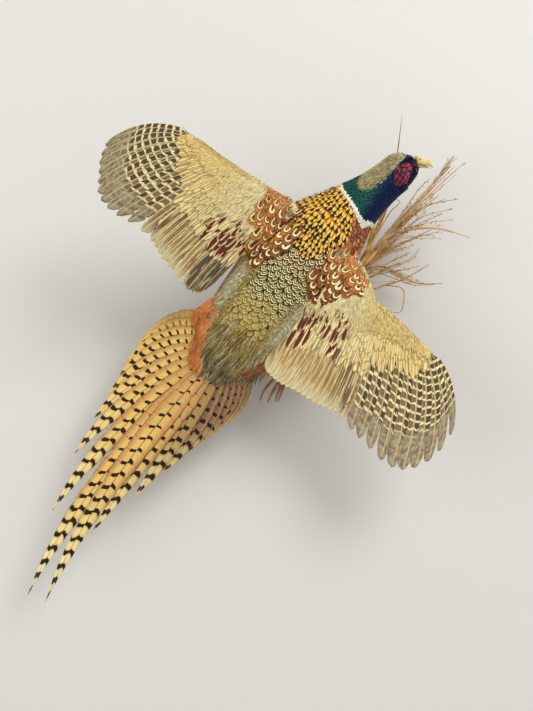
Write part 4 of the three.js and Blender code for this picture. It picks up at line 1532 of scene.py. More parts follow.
def bill_points(template, upper):
    middle, ahead, up, right, _ = BODY.frame(np.array(NOSE - BILL["set_back"]))
    droop = math.radians(BILL["droop"])
    ahead = ahead * math.cos(droop) + up * math.sin(droop)
    up = np.cross(right, ahead)
    along = template.along
    angle = template.angle
    reach = BILL["length"] * (1 if upper else BILL["shorter"])
    taper = (1 - along ** 2.6) ** 0.6 if upper else (1 - along ** 1.5) ** 0.7
    taper = np.maximum(0.03, taper)
    share = BILL["upper"] if upper else 1 - BILL["upper"]
    tall = np.maximum(0, np.sin(angle)) ** 0.85 * BILL["depth"] * share * taper
    groove = 0.5 * np.exp(-((np.abs(np.cos(angle)) - 0.62) / 0.1) ** 2) * (along < 0.45)
    out = np.cos(angle) * (BILL["width"] / 2 + 0.25 - groove * upper) * taper
    sag = -BILL["hook"] * along ** 3 + (BILL["nock"] if upper else -BILL["nock"])
    lip = np.where(np.sin(angle) < 0.05, 0.35 if upper else 0.1, 0) * np.sin(np.pi * along)
    lift = BILL["rise"] + sag - lip + (tall if upper else -tall)
    return (middle + ahead * (BILL["ahead"] + along * reach)[:, None] + right * out[:, None]
            + up * lift[:, None])[None]


def make_bill():
    material = look_of("Horn")
    for name, upper in (("bill_upper", True), ("bill_lower", False)):
        template = tube_template(round_section(40), 30)
        obj = joined(name.capitalize(), template, bill_points(template, upper),
                     (0.9, 0.8, 0.5), template.unrolled, patch_size=1.0)
        finish(obj, material, (name,))


# ---- coat --------------------------------------------------------------------------------
def seen_place(roots, length):
    """Where on the body the tips of feathers with these roots lie."""
    return roots[0] - 0.85 * length / station_mm(roots[0])


def body_tract(draw, name, kind, design, keep, rows, *, length, half, turn, first=None,
               vary=0.12, blend=None, **shape):
    """A tract on the body, in rows as body_rows takes them. Some of its feathers take the
    blend colour; first is their first trait, or how it follows from their roots."""
    roots = body_rows(draw, keep, *rows)
    place, angle = roots
    count = len(place)
    length, half = varied(draw, count, length), varied(draw, count, half)
    turn, trait = spread(draw, count, turn), ()
    if first is not None:
        first = first(roots) if callable(first) else varied(draw, count, first)
        trait = with_seed(draw, count, first)
    shade = body_tint(seen_place(roots, length), np.degrees(angle))
    tint = jittered(draw, count, shade, vary)
    if blend is not None:
        tint = mixed(tint, blend, 0.75 * draw.random((count, 1)) ** 2)
    plumage(name, kind, BODY, roots, design, draw, length=length, half=half, turn=turn,
            patch=body_patch(place, angle), tint=tint, trait=trait, **shape)


def back_crispness(roots):
    seen, side = seen_place(roots, 19.0), np.degrees(roots[1])
    return soft(seen, 2.2, 3.5) * (1 - soft(np.abs(side + 8), 30, 52))


def flank_rim(roots):
    side = np.abs(np.degrees(roots[1]))
    return (1 - soft(side, 128, 145)) * soft(side, 72, 90)


def in_margin(p, a):
    left = (a < -38) & (a > -92) & (p < 3.7)
    right = (a > 22) & (a < 84) & (p < 3.4)
    return (p > 1.6) & (left | right)


def make_body_coat():
    draw = np.random.default_rng(SEED + 2)
    round_vane = Vane(vane_template(8, 9), slant=0.5)
    narrow_vane = Vane(vane_template(4, 6), shoulder=0.5, base=0.5, slant=0.3, point=0.6)
    blade = blade_vane(6)
    body_tract(
        draw, "Mantle", "mantle", round_vane, in_mantle,
        ((4.3, 7.9), (-100, 100), size("mantle_row"), size("mantle_width"), 16),
        length=(20, 1.5), half=(5.4, 0.4), turn=0.1, rise=(-5.5, 0.6), camber=0.7)
    body_tract(
        draw, "Back", "back", round_vane,
        lambda p, a: (p > 1.5) & (p < 5.2) & (np.abs(a) < 80) & ~in_mantle(p, a),
        ((1.5, 5.6), (-100, 100), size("back_row"), size("back_width"), 14),
        length=(19, 2), half=(6, 0.6), turn=0.22, rise=(-5.5, 0.5), fray=0.35,
        first=back_crispness)
    # Some breast feathers take a pale copper as a painted highlight.
    body_tract(
        draw, "Chest", "scaled", narrow_vane,
        lambda p, a: ((np.abs(a) > 24) & (p > 4.4) & (p < lookup(COLLAR_AT, a))
                      & ~in_mantle(p, a)),
        ((4.4, 7.9), (-180, 180), 4.6, 5.4, 12), length=(16, 2), half=(4.0, 0.4), turn=0.15,
        rise=(-5.0, 0.5), fray=0.35, vary=0.25, blend=linear(0xD89A66), first=(0.55, 0.25))
    body_tract(
        draw, "Flanks", "scaled", round_vane,
        lambda p, a: (np.abs(a) > 70) & (p > 0.8) & (p <= 4.4),
        ((0.9, 4.9), (-180, 180), 8.0, 8.0, 18), length=(24, 2), half=(6.4, 0.6), turn=0.15,
        rise=(-5.5, 0.5), fray=0.35, first=flank_rim)
    body_tract(
        draw, "Margins", "down", blade, in_margin, ((1.6, 4.2), (-95, 95), 2.6, 3.0, 10),
        length=(15, 3), half=1.1, turn=0.3, rise=(-2.5, 1.4), thick=0.4, camber=0.1,
        blend=ink.sage)
    body_tract(
        draw, "Vent", "plain", blade, lambda p, a: np.abs(a) > 78,
        ((0.15, 2.2), (-180, 180), 2.6, 3.2), length=(17, 4), half=1.3, turn=0.3,
        rise=(-4.5, 0.8), thick=0.4)


class Front(Surface):
    """The blunt front of the face: u is mm out from the bill's middle, v an angle round it."""

    steps = (0.4, 0.05)
    outward = 1

    def spread_out(self, out, angle):
        return out * np.cos(angle) + BILL["rise"] + 1.5, out * np.sin(angle)

    def point(self, out, angle):
        middle, ahead, up, right, _ = BODY.frame(np.array(NOSE - 0.1))
        high, wide = (s[..., None] for s in self.spread_out(out, angle))
        dome = 4.5 * (1 - (high ** 2 + wide ** 2) / 11.5 ** 2)
        return middle + up * high + right * wide + ahead * np.maximum(dome, -8)

    def lie(self, out, _, __):
        return out


def front_rings(draw):
    """Places on the front of the face, in rings round the bill."""
    rings = []
    for out in np.arange(4.5, 20, 1.6):
        count = int(3.6 * out)
        turns = (np.arange(count) + draw.random()) * math.tau / count
        rings.append(np.stack([np.full(count, out), turns]))
    return np.concatenate(rings, 1)


def make_neck_coat():
    draw = np.random.default_rng(SEED + 3)
    leaf = Vane(vane_template(4, 5), shoulder=0.55, base=0.4, slant=0.4, point=0.6)
    blade = blade_vane(5, 0.35)
    body_tract(
        draw, "Neck", "glossy", leaf,
        lambda p, a: ((crown_share(p, a) < 0.5) & (collar_share(p, a) < 0.5)
                      & (p > lookup(COLLAR_AT, a))),
        ((7.0, 10.4), (-180, 180), size("neck_row"), 2.8, 7), slot="neck_plumage",
        length=(9.5, 1.2), half=(2.2, 0.3), turn=0.2, rise=(-3.4, 0.3), thick=0.2, camber=0.25)
    body_tract(
        draw, "Collar", "white", leaf, lambda p, a: collar_share(p, a) > 0.5,
        ((6.5, 8.0), (-180, 180), 1.4, 1.7, 6), slot="neck_plumage", length=(7.5, 0.9),
        half=1.7, turn=0.15, rise=(-2.6, 1.1), thick=0.2, camber=0.2, fray=0.1, vary=0.05)
    face = Vane(vane_template(2, 4), shoulder=0.5, base=0.4, slant=0.2, point=0.7)
    front = Front()
    out, angle = front_rings(draw)
    out = out + spread(draw, len(out), 0.6)
    keep = np.hypot(*front.spread_out(out, angle)) < 11.6
    out, angle = out[keep], angle[keep]
    top = np.clip(np.cos(angle), 0, 1)
    plumage("Face_front", "glossy", front, (out, angle), face, draw, slot="head_plumage",
            length=(4.6 + 2.6 * top, 0.8), half=1.15, rise=(-0.8, 0.7 + 2 * top), fray=0.3,
            patch=body_patch(np.full(len(out), 12.9), angle), thick=0.15, camber=0.15,
            tint=ink.navy, vary=0.12, turn=(0, 0.25))
    body_tract(
        draw, "Face", "glossy", face,
        lambda p, a: (p > 10.1) & (wattle_at(p, a) > 1.04) & (crown_share(p, a) < 0.5),
        ((10.1, 12.96), (-180, 180), size("face_row"), 1.9, 3), slot="head_plumage",
        length=(5, 0.8), half=1.2, turn=0.25, rise=(-2.8, 0.3), thick=0.15, camber=0.15)
    # Some crown feathers take a dark green-grey as painted shade.
    body_tract(
        draw, "Head_top", "plain", blade,
        lambda p, a: (crown_share(p, a) >= 0.5) & (wattle_at(p, a) > 1.05),
        ((7.9, 12.1), (-90, 90), 1.5, 1.35, 5), slot="head_plumage", length=(8.5, 2),
        half=0.55, turn=0.3, rise=(-2.8, 0.6), thick=0.3, camber=0.1, vary=0.3,
        blend=linear(0x465044))


SCAPULARS = {
    "right": {"inner": ((48, 20), (33, -2), (25, -16), (20, -28), (27, -42)),
              "outer": ((83, 20), (93, 0), (99, -12), (99, -22), (90, -29)),
              "heading": (-0.62, -0.78), "joint": (71, 30)},
    "left": {"inner": ((-9, 98), (2, 76), (0, 52), (-6, 32), (-22, 22), (-44, 12)),
             "outer": ((-30, 108), (-38, 96), (-49, 75), (-54, 60), (-58, 28), (-58, 10)),
             "heading": (-0.66, -0.75), "joint": (3, 88)},
}


def inside(polygon, x, z):
    """Whether points lie in a polygon, by counting the edges to one side of them."""
    crossings = np.zeros(np.shape(x), int)
    for (ax, az), (bx, bz) in zip(polygon, np.roll(polygon, -1, axis=0)):
        between = (az > z) != (bz > z)
        reach = ax + (z - az) * (bx - ax) / np.where(bz == az, 1e-9, bz - az)
        crossings += between & (x < reach)
    return crossings % 2 == 1


def under_scapulars(name, spot, grown=0.93):
    patch = SCAPULARS[name]
    inner, outer = (np.array(patch[key], float) for key in ("inner", "outer"))
    back = np.array(patch["heading"]) * 18
    edge = np.concatenate([[inner[0] - back], inner, outer[::-1], [outer[0] - back]])
    middle = edge.mean(0)
    edge = middle + (edge - middle) * grown
    return inside(edge, spot[..., 0], spot[..., 2])


def make_scapulars():
    draw = np.random.default_rng(SEED + 4)
    vane = Vane(vane_template(10, 14), shoulder=0.6, slant=0.5, point=0.5, base=0.5)
    blade = blade_vane(5)
    steps = np.linspace(0, 1, 12)
    for name, patch in SCAPULARS.items():
        ahead = np.array(patch["heading"])
        sheet = Cover(("trunk", f"wing_{name}_arm"), (-110, -90), (150, 150),
                      math.atan2(ahead[1], ahead[0]))
        inner, outer = (np.array(patch[key], float) for key in ("inner", "outer"))
        run = np.linalg.norm(np.diff((inner + outer) / 2, axis=0), axis=1).sum()
        rows = round(run / size("scapular_row"))
        tips, share, fall = [], [], []
        for row in range(rows + 1):
            a, b = (along_curve(edge, row / rows) for edge in (inner, outer))
            count = max(2, round(np.linalg.norm(b - a) / size("scapular_width")) + 1)
            w = (np.arange(count) + 0.5 * (row % 2)) / (count - 0.5)
            w = w + spread(draw, count, 0.05)
            tips.append(a + (b - a) * w[:, None] + spread(draw, (count, 2), 1.2))
            share.append(w)
            fall.append(np.full(count, row / rows))
        tips, share, fall = (np.concatenate(each) for each in (tips, share, fall))
        length = 29 + spread(draw, len(tips), 2)
        line = tips[:, None] - ahead * (length[:, None] * steps)[..., None]
        held = np.cumprod(sheet.over(line), axis=1).sum(1) / len(steps)
        keep = held > 0.24
        tips, share, fall, length = tips[keep], share[keep], fall[keep], (length * held)[keep]
        count = len(tips)
        roots = tips - ahead * (length[:, None] - 2)
        deep = np.clip(0.2 + fall * 1.2 - share * 0.7 + spread(draw, count, 0.3), 0, 1)
        full = np.clip(spread(draw, count, 0.7), 0, 0.5)
        plumage("Scapulars_" + name, "scapular", sheet, roots.T, vane, draw, length=length,
                half=(np.minimum(8.6, 3 + length * 0.22), 0.6), rise=(-1.5, 3.2),
                patch=roots / 400 + 0.5, tint=ink.chestnut, trait=(deep, full), camber=0.9,
                turn=(0, 0.2))
        spot = np.array(patch["joint"]) + draw.normal(0, 3.4, (60, 2))
        spot = spot[sheet.over(spot)]
        tint = mixed(ink.umber, ink.sand, draw.random((len(spot), 1)))
        plumage("Joint_" + name, "plain", sheet, spot.T, blade, draw, length=(13, 4),
                half=0.8, rise=(-0.5, 3.4), patch=spot / 400 + 0.5, tint=tint, thick=0.4,
                turn=(0, 0.6))


# Coloured tufts beside the rump: places, angles, colour, turn outwards and length in mm.
TUFTS = (((0.2, 2.2), (-100, -46), "rust", 24, 44), ((1.2, 2.1), (58, 82), "maroon", 2, 24))


def make_rump():
    """Loose, hair-like feathers from the lower back out over the tail's root."""
    draw = np.random.default_rng(SEED + 5)
    blade = blade_vane(7)
    heading = math.radians(TAIL["heading"] + 180)
    tails = [f"tail_{side}_{k + 1}" for side in ("left", "right") for k in range(TAIL["pairs"])]
    sheet = Cover(["trunk"] + tails, (-180, -190), (40, 40), heading)
    roots = body_rows(draw, lambda p, a: p > 0, (0.3, 2.4), (-78, 78), 2.2, 2.5)
    count = len(roots[0])
    tint = jittered(draw, count, body_tint(roots[0], np.degrees(roots[1])), 0.3)
    pick = draw.random((count, 1))
    tint = mixed(tint, ink.ash, (pick < 0.25) * 0.8)
    tint = mixed(tint, ink.black, (pick > 0.8) * 0.55)
    plumage("Rump", "plain", sheet, BODY.point(*roots)[:, ::2].T, blade, draw,
            length=(size("rump_length"), 7), half=1.15, rise=(-3.0, (1.8, 0.8)),
            patch=body_patch(*roots), tint=tint, thick=0.5, turn=(-0.35 * roots[1], 0.22))
    for k, (places, angles, shade, turned, long) in enumerate(TUFTS):
        roots = body_rows(draw, lambda p, a: p > 0, places, angles, 2.0, 2.0)
        tint = mixed(getattr(ink, shade), ink.rust, 0.6 * draw.random((len(roots[0]), 1)))
        plumage(f"Rump_tuft_{k + 1}", "down", sheet, BODY.point(*roots)[:, ::2].T, blade, draw,
                length=(long, 8), half=1.2, rise=(-0.4, 3.4), patch=body_patch(*roots),
                tint=tint, vary=0.2, thick=0.5, turn=(math.radians(turned), 0.3))


# ---- wings -------------------------------------------------------------------------------
def quill_width(t, kind):
    """Half width of a quill along its vane, as a share: 0 for secondary, 1 for primary."""
    rise = soft(t, -0.02, 0.12)
    blunt = (1 - np.clip((t - 0.9) / 0.1, 0, 1) ** 2.2) ** 0.5
    keen = mixed(1, 0.84, soft(t, 0.6, 0.9)) * (1 - np.clip((t - 0.88) / 0.12, 0, 1) ** 2) ** 0.5
    return rise * mixed(blunt, keen, kind)


def beside_shafts(wing, across, chord, lift):
    """Places across mm beside the shafts of a wing's quills."""
    here = np.broadcast_to((np.arange(FLIGHTS)[:, None] + 0.5) / FLIGHTS, chord.shape)
    du, _ = wing.tangents(here, chord)
    return wing.raised(here + across / np.linalg.norm(du, axis=-1), chord, lift)


def make_flights(name):
    draw = np.random.default_rng(SEED + 6)
    wing = Wing(name)
    vane = vane_template(10, 48)
    index = np.arange(FLIGHTS)[:, None]
    span = (index + 0.5) / FLIGHTS
    primary = np.clip((index - TERTIALS - SECONDARIES + 1.2) / 1.2, 0, 1)
    t = np.broadcast_to(vane.along, (FLIGHTS, len(vane.along)))
    x = vane.across
    whole = mixed(size("secondary_width"), size("primary_width"), primary)
    dark = (name == "left") * soft(8.5 - index, 0, 2)
    whole = whole * np.where(index == FLIGHTS - 1, 0.8, 1)
    whole = whole * mixed(1, np.where(index % 3 == 1, 1.35, 0.6), dark > 0)
    lead = mixed(0.4, 0.36, primary)
    wide = np.where(x > 0, lead, 1 - lead) * whole * quill_width(t, primary)
    wide = np.maximum(wide, 0.4)
    torn = np.exp(-((index - TERTIALS - SECONDARIES + 3) / 4) ** 2)
    rag = vane.rim * soft(t, 0.3, 0.6) * draw.random(t.shape) ** 3
    across = x * wide * (1 - (0.1 + 0.35 * torn * soft(t, 0.75, 0.95)) * rag)
    chord = mixed(0.1, 1.0, t + 0.006 * np.abs(x) * np.sin(np.pi * t))
    lift = mixed(-0.5, 0.25, t) + 0.85 * x * mixed(1, 0.6, primary) - 0.5 * np.abs(x) ** 2
    lift = lift + vane.keel * 0.35 + spread(draw, (FLIGHTS, 1), 0.12)
    points = beside_shafts(wing, across, chord, lift - 1.0)
    cell = np.stack([(index[:, 0] + 0.5) / FLIGHTS, np.full(FLIGHTS, 0.5)], -1)
    length = wing.reach(span[:, 0]) * 0.9
    reach = mixed(0.85, 0.68, (span[:, 0] - WRIST) / (1 - WRIST))
    marked = np.where(primary > 0.5, (reach[:, None] - 0.1) / 0.9, torn) - dark
    trait = with_seed(draw, FLIGHTS, primary[:, 0], marked[:, 0])
    bars = math.tau * length / (size("bar_spacing") * mixed(1.05, 0.82, soft(span[:, 0], 0.6, 1)))
    obj = joined(f"Quills_{name}", vane, points, ink.buff, None, cell, trait,
                 (0.9 / FLIGHTS, 0.96), bars)
    finish(obj, coat("flight"), (f"wing_{name}_arm", f"wing_{name}_hand"))
    shaft = tube_template(BLADE, 24)
    t = np.broadcast_to(shaft.along, (FLIGHTS, len(shaft.along)))
    chord = mixed(0.1, 0.985, t)
    half = mixed(size("shaft"), 0.25, t) * 0.5
    lift = mixed(-0.5, 0.25, t) - 0.95 + shaft.keel * half * 1.3
    tint = mixed(ink.cream, ink.buff, primary * 0.5)
    points = beside_shafts(wing, shaft.across * half, chord, lift)
    obj = joined(f"Shafts_{name}", shaft, points, tint, None, cell, trait, (0.002, 0.96))
    finish(obj, coat("shaft"))


# Each row: its name; where its tips lie as a share of the chord, from its first span to its
# last; the spans; a feather's length and spacing in mm; its layer; how brown it is.
COVERTS = (
    ("greater", (0.76, 0.64), (0.02, 0.60), 62, 8.0, -0.2, 0.5),
    ("middle_low", (0.62, 0.56), (0.02, 0.61), 50, 6.8, 0.5, 0.3),
    ("middle", (0.53, 0.48), (0.02, 0.62), 42, 6.0, 1.1, 0.2),
    ("middle_high", (0.44, 0.40), (0.10, 0.62), 33, 5.2, 1.7, 0.1),
    ("hand_greater", (0.52, 0.22), (0.615, 0.91), 54, 5.4, -0.3, 0.4),
    ("hand_middle", (0.40, 0.15), (0.615, 0.89), 42, 4.6, 0.3, 0.25),
    ("hand_small", (0.28, 0.08), (0.615, 0.86), 28, 3.8, 0.8, 0.1),
)


def wing_skin_points(wing, template):
    """A shell just inside the wing's thick part: keel 0 is its upper side."""
    span = mixed(0.005, 0.95, template.across * 0.5 + 0.5)
    end = np.interp(span, (0, 0.58, 0.66, 1), (0.62, 0.56, 0.36, 0.09))
    chord = mixed(0.018, end, template.along ** 1.6)
    inset = mixed(1.2, 2.5, soft(span, 0.6, 0.95))
    above = wing.raised(span, chord, -inset)
    below = wing.raised(span, -np.maximum(chord, 1e-4), -inset * 0.5)
    return np.where((template.keel > -0.5)[:, None], above, below)[None]


def spaced(draw, line, gap, jitter=0.06):
    """Places along a line of points, gap mm apart, as shares of the line's points."""
    run = np.concatenate([[0], np.cumsum(np.linalg.norm(np.diff(line, axis=0), axis=1))])
    count = int(run[-1] / gap)
    at = (np.arange(count) + 0.5) * run[-1] / count + spread(draw, count, gap * jitter)
    return np.interp(at, run, np.linspace(0, 1, len(line)))


def make_coverts(name):
    draw = np.random.default_rng(SEED + 7)
    wing = Wing(name)
    shell = vane_template(60, 26, 60)
    obj = joined("Wing_skin_" + name, shell, wing_skin_points(wing, shell),
                 mixed(ink.sand, ink.buff, 0.6), patch_size=1.0)
    finish(obj, look_of("Skin"))
    vane = Vane(vane_template(8, 14), shoulder=0.6, base=0.5, slant=0.3, point=0.6)
    for row, tips, spans, long, gap, level, brown in COVERTS:
        ends = np.linspace(0, 1, 60)
        share = spaced(draw, wing.point(mixed(*spans, ends), mixed(*tips, ends)), gap)
        count = len(share)
        span, tip = mixed(*spans, share), mixed(*tips, share)
        tip = tip + spread(draw, count, 0.022)
        length = long + spread(draw, count, long * 0.05)
        length = length * mixed(1, 0.6, soft(span, 0.72, 0.92))
        root = np.maximum(0.02, tip - length / wing.reach(span))
        keep = ~under_scapulars(name, wing.point(span, tip))
        span, root, tip, length = span[keep], root[keep], tip[keep], length[keep]
        count = len(span)
        blotch = (draw.random(count) < 0.7) * (1 - soft(span, 0.4, 0.5)) * (tip > 0.42)
        outer = soft(span, 0.45, 0.8)[:, None]
        tint = mixed(ink.sand, ink.straw, mixed(0.5, 1, outer))
        plumage(f"Coverts_{row}_{name}", "covert", wing, (span, root), vane, draw,
                length=length, half=gap * (0.95 if name == "left" else 0.82),
                rise=(level - 1.4, level + 0.3), patch=np.stack([span, root], -1),
                slot="wing_plumage", tint=tint, vary=0.1, trait=(blotch, brown),
                turn=(0, 0.07), camber=0.4)
    hair = Vane(tube_template(BLADE, 5), shoulder=0.4, base=0.6, slant=0.0, point=0.7)
    count = 4600
    span = draw.random(count) * 0.97
    limit = np.interp(span, (0, 0.5, 0.64, 1), (0.36, 0.32, 0.15, 0.03))
    root = mixed(-0.07, limit * (1 + spread(draw, count, 0.18)), draw.random(count))
    long = mixed(20, 10, soft(span, 0, 1)) + spread(draw, count, 3)
    seen = np.maximum(root + long * 0.8 / wing.reach(span), 0.01)
    hidden = under_scapulars(name, wing.point(span, seen), 1.12)[:, None]
    gold = soft(span, 0.4, 0.7)[:, None]
    tint = mixed(mixed(ink.sand, ink.ash, draw.random((count, 1)) * 0.2),
                 ink.straw, gold * 0.7)
    tint = mixed(tint, ink.buff, (draw.random((count, 1)) < 0.16) * 0.6)
    tint = np.where(hidden, mixed(ink.chestnut, ink.cream,
                                  (draw.random((count, 1)) < 0.15) * 0.6), tint)
    plumage("Coverts_lesser_" + name, "down", wing, (span, root), hair, draw, length=long,
            half=1.15, rise=np.where(hidden[:, 0], ((-0.8,), (0.1,)), ((0.0,), (2.2,))),
            patch=np.stack([span, np.abs(root)], -1), slot="wing_plumage", tint=tint,
            vary=0.14, turn=(0, 0.12), thick=0.4, camber=0.1)
    small = Vane(vane_template(4, 7), shoulder=0.6, base=0.5, slant=0.3, point=0.6)
    under = Under(name)
    spans, roots = [], []
    for k, tip in enumerate(np.arange(0.1, 0.62, 0.06)):
        count = int(np.interp(tip, (0, 0.6), (34, 22)))
        span = (np.arange(count) + 0.5 * (k % 2) + 0.25) / count * 0.97
        spans.append(span)
        roots.append(-np.maximum(0.004, np.full(count, tip) - 24 / under.reach(span)))
    span, root = np.concatenate(spans), np.concatenate(roots)
    tint = jittered(draw, len(span), mixed(ink.sand, ink.ash, 0.5), 0.12)
    plumage("Coverts_under_" + name, "plain", under, (span, root), small, draw,
            length=(24, 2), half=5.6, rise=(-1.0, 0.4), patch=np.stack([span, -root], -1),
            slot="wing_plumage", tint=tint, turn=(0, 0.15), fray=0.3)


# ---- tail --------------------------------------------------------------------------------
def tail_line(pair, side):
    """Root, middle and tip of a tail feather's shaft, drawn flat in (x, z)."""
    half = TAIL["left" if side < 0 else "right"]
    length = half["shortest"] + half["spare"] * TAIL["grade"] ** pair
    turn = math.radians(half["turns"][pair])
    along = np.array([-math.cos(turn), -math.sin(turn)])
    outward = side * np.array([math.sin(turn), -math.cos(turn)])
    root = np.array(TAIL["root"], float)
    bend = mixed(*TAIL["bend"], pair / (TAIL["pairs"] - 1))
    middle = root + along * length * bend + outward * length * 2 * half["bow"](pair)
    return root, middle, root + along * length


def tail_off(x, z):
    """How far off the wall the tail lies: a rounded roof that falls to its tip."""
    heading = math.radians(TAIL["heading"])
    dx, dz = x - TAIL["root"][0], z - TAIL["root"][1]
    far = -math.cos(heading) * dx - math.sin(heading) * dz
    left = -math.sin(heading) * dx + math.cos(heading) * dz
    return (TAIL["off"] - TAIL["fall"] * far + TAIL["tilt"] * left
            - TAIL["roof"] * np.hypot(left, TAIL["ridge"]))


def tail_half(pair, along):
    widest = mixed(TAIL["widest"], TAIL["outer_width"], min(1, pair / 4)) / 2
    pointed = mixed(1.15, 0.42, min(1, pair / 5))
    rise = np.minimum(1, 0.35 + along * 3)
    return np.maximum(0.8, widest * rise * (1 - np.clip(along, 0, 1) ** 2.6) ** pointed)


def tail_points(pair, side, across, along, lift):
    root, middle, tip = tail_line(pair, side)
    t = along[:, None]
    shaft = root * (1 - t) ** 2 + middle * 2 * t * (1 - t) + tip * t ** 2
    ahead = unit((middle - root) * (1 - t) + (tip - middle) * t)
    x, z = shaft[:, 0] - ahead[:, 1] * across, shaft[:, 1] + ahead[:, 0] * across
    layer = (2 * pair + (0 if side > 0 else 1)) * TAIL["layer"]
    return np.stack([x, -(tail_off(x, z) - layer + lift), z], -1)[None]


def make_tail():
    draw = np.random.default_rng(SEED + 8)
    vane = vane_template(10, 90)
    stem = tube_template(BLADE, 40)
    for side, name in SIDES:
        for pair in range(TAIL["pairs"]):
            along, x = vane.along, vane.across
            rag = vane.rim * soft(along, 0.15, 0.5) * draw.random(len(along)) ** 3
            nick = draw.random(6)
            for spot in nick:
                rag = rag + vane.rim * np.exp(-((along - spot) / 0.008) ** 2) * 1.2
            half = tail_half(pair, along) * (1 - 0.16 * np.minimum(rag, 1.4))
            slid = np.clip(along + 0.005 * np.abs(x) * np.sin(np.pi * along), 0, 1)
            lift = 0.35 * (1 - x ** 2) * soft(along, 0, 0.1) - 0.35 + vane.keel * 0.35
            points = tail_points(pair, side, x * half, slid, lift)
            root, middle, tip = tail_line(pair, side)
            length = np.linalg.norm(middle - root) + np.linalg.norm(tip - middle)
            outer = pair / (TAIL["pairs"] - 1)
            trait = with_seed(draw, 1, outer, side > 0)
            bars = np.array([length / (size("tail_bar_spacing") * mixed(1.3, 0.66, outer))])
            obj = joined(f"Tail_{name}_{pair + 1}", vane, points, ink.tail, trait=trait,
                         patch_size=1.0, bars=bars)
            finish(obj, coat("tail"), (f"tail_{name}_{pair + 1}",))
            width = mixed(1.2, 0.3, stem.along)
            points = tail_points(pair, side, stem.across * width * 0.5,
                                 stem.along * 0.995, 0.02 + stem.keel * width * 0.5)
            obj = joined(f"Tail_shaft_{name}_{pair + 1}", stem, points,
                         mixed(ink.umber, ink.amber, 0.4), trait=trait, patch_size=(0.01, 1.0))
            finish(obj, coat("shaft"))


# ---- legs and mount ----------------------------------------------------------------------
def knuckle_of(side):
    return from_body(-LEG["knee"] - LEG["tarsus"], side * LEG["side"] * 0.85,
                     LEG["off"] + LEG["ankle"])


def toe_path(side, turn, long, fall):
    ahead, out = -LEG["knee"] - LEG["tarsus"], side * LEG["side"] * 0.85
    off = LEG["off"] + LEG["ankle"]
    turn = math.radians(turn)

    def reach(share, drop):
        return from_body(ahead - math.cos(turn) * long * share,
                         out + math.sin(turn) * long * share, off - drop)

    return [knuckle_of(side), reach(0.5, fall * 0.2), reach(0.82, fall), reach(1, fall + 5)]


def limb_piece(name, limbs, sides, rows, tint, material, replaces=()):
    template = tube_template(round_section(sides), rows)
    points = np.concatenate([limb.corners(template) for limb in limbs])
    count = len(limbs)
    cell = np.stack([(np.arange(count) + 0.5) / count, np.full(count, 0.5)], -1)
    trait = np.stack([np.arange(count) / count, np.zeros(count), np.zeros(count)], -1)
    obj = joined(name, template, points, tint, template.unrolled, cell, trait,
                 (0.9 / count, 0.96))
    return finish(obj, material, replaces)


def make_legs():
    draw = np.random.default_rng(SEED + 9)
    scales = look_of("Leg_scales")
    horn = look_of("Horn")
    blade = blade_vane(6)
    for side, name in SIDES:
        shank = [from_body(-LEG["knee"], side * LEG["side"], LEG["off"]),
                 from_body(-LEG["knee"] - LEG["tarsus"] * 0.5, side * LEG["side"] * 0.93,
                           LEG["off"] + 3), knuckle_of(side)]
        limbs = [Limb(shank, LEG["shank"])]
        claws = []
        for toe in TOES:
            path = toe_path(side, *toe)
            limbs.append(Limb(path, LEG["toe"]))
            tip, before = np.array(path[-1]), np.array(path[-2])
            ahead = unit(tip - before)
            bend = np.array([0.0, 1.0, 0.0])
            claws.append(Limb([tip - ahead * 4, tip - ahead * 0.5, tip + ahead * 2 + bend * 1.2],
                              (1.5, 1.2, 0.4)))
        limb_piece("Foot_" + name, limbs, 16, 24, (0.33, 0.29, 0.22), scales,
                   ("foot_" + name,))
        root = from_body(-LEG["knee"] - LEG["tarsus"] * 0.66, side * LEG["side"] * 0.9,
                         LEG["off"] + 3)
        spur = [root, root + (-2, 3, 4), root + (-7, 6, 13)]
        claws.append(Limb(spur, (2.6, 1.9, 0.5)))
        limb_piece("Claws_" + name, claws, 12, 12, (0.2, 0.15, 0.1), horn)
        leg = thigh(side)
        along, around = draw.random(900) * 0.86, draw.random(900) * math.tau
        tint = jittered(draw, len(along), ink.belly, 0.3)
        plumage("Thigh_" + name, "plain", leg, (along, around), blade, draw, length=(14, 3),
                half=1.4, rise=(-3.0, 1.0), patch=np.stack([along, around / math.tau], -1),
                slot="thigh_plumage", tint=tint, turn=(0, 0.3), thick=0.4)


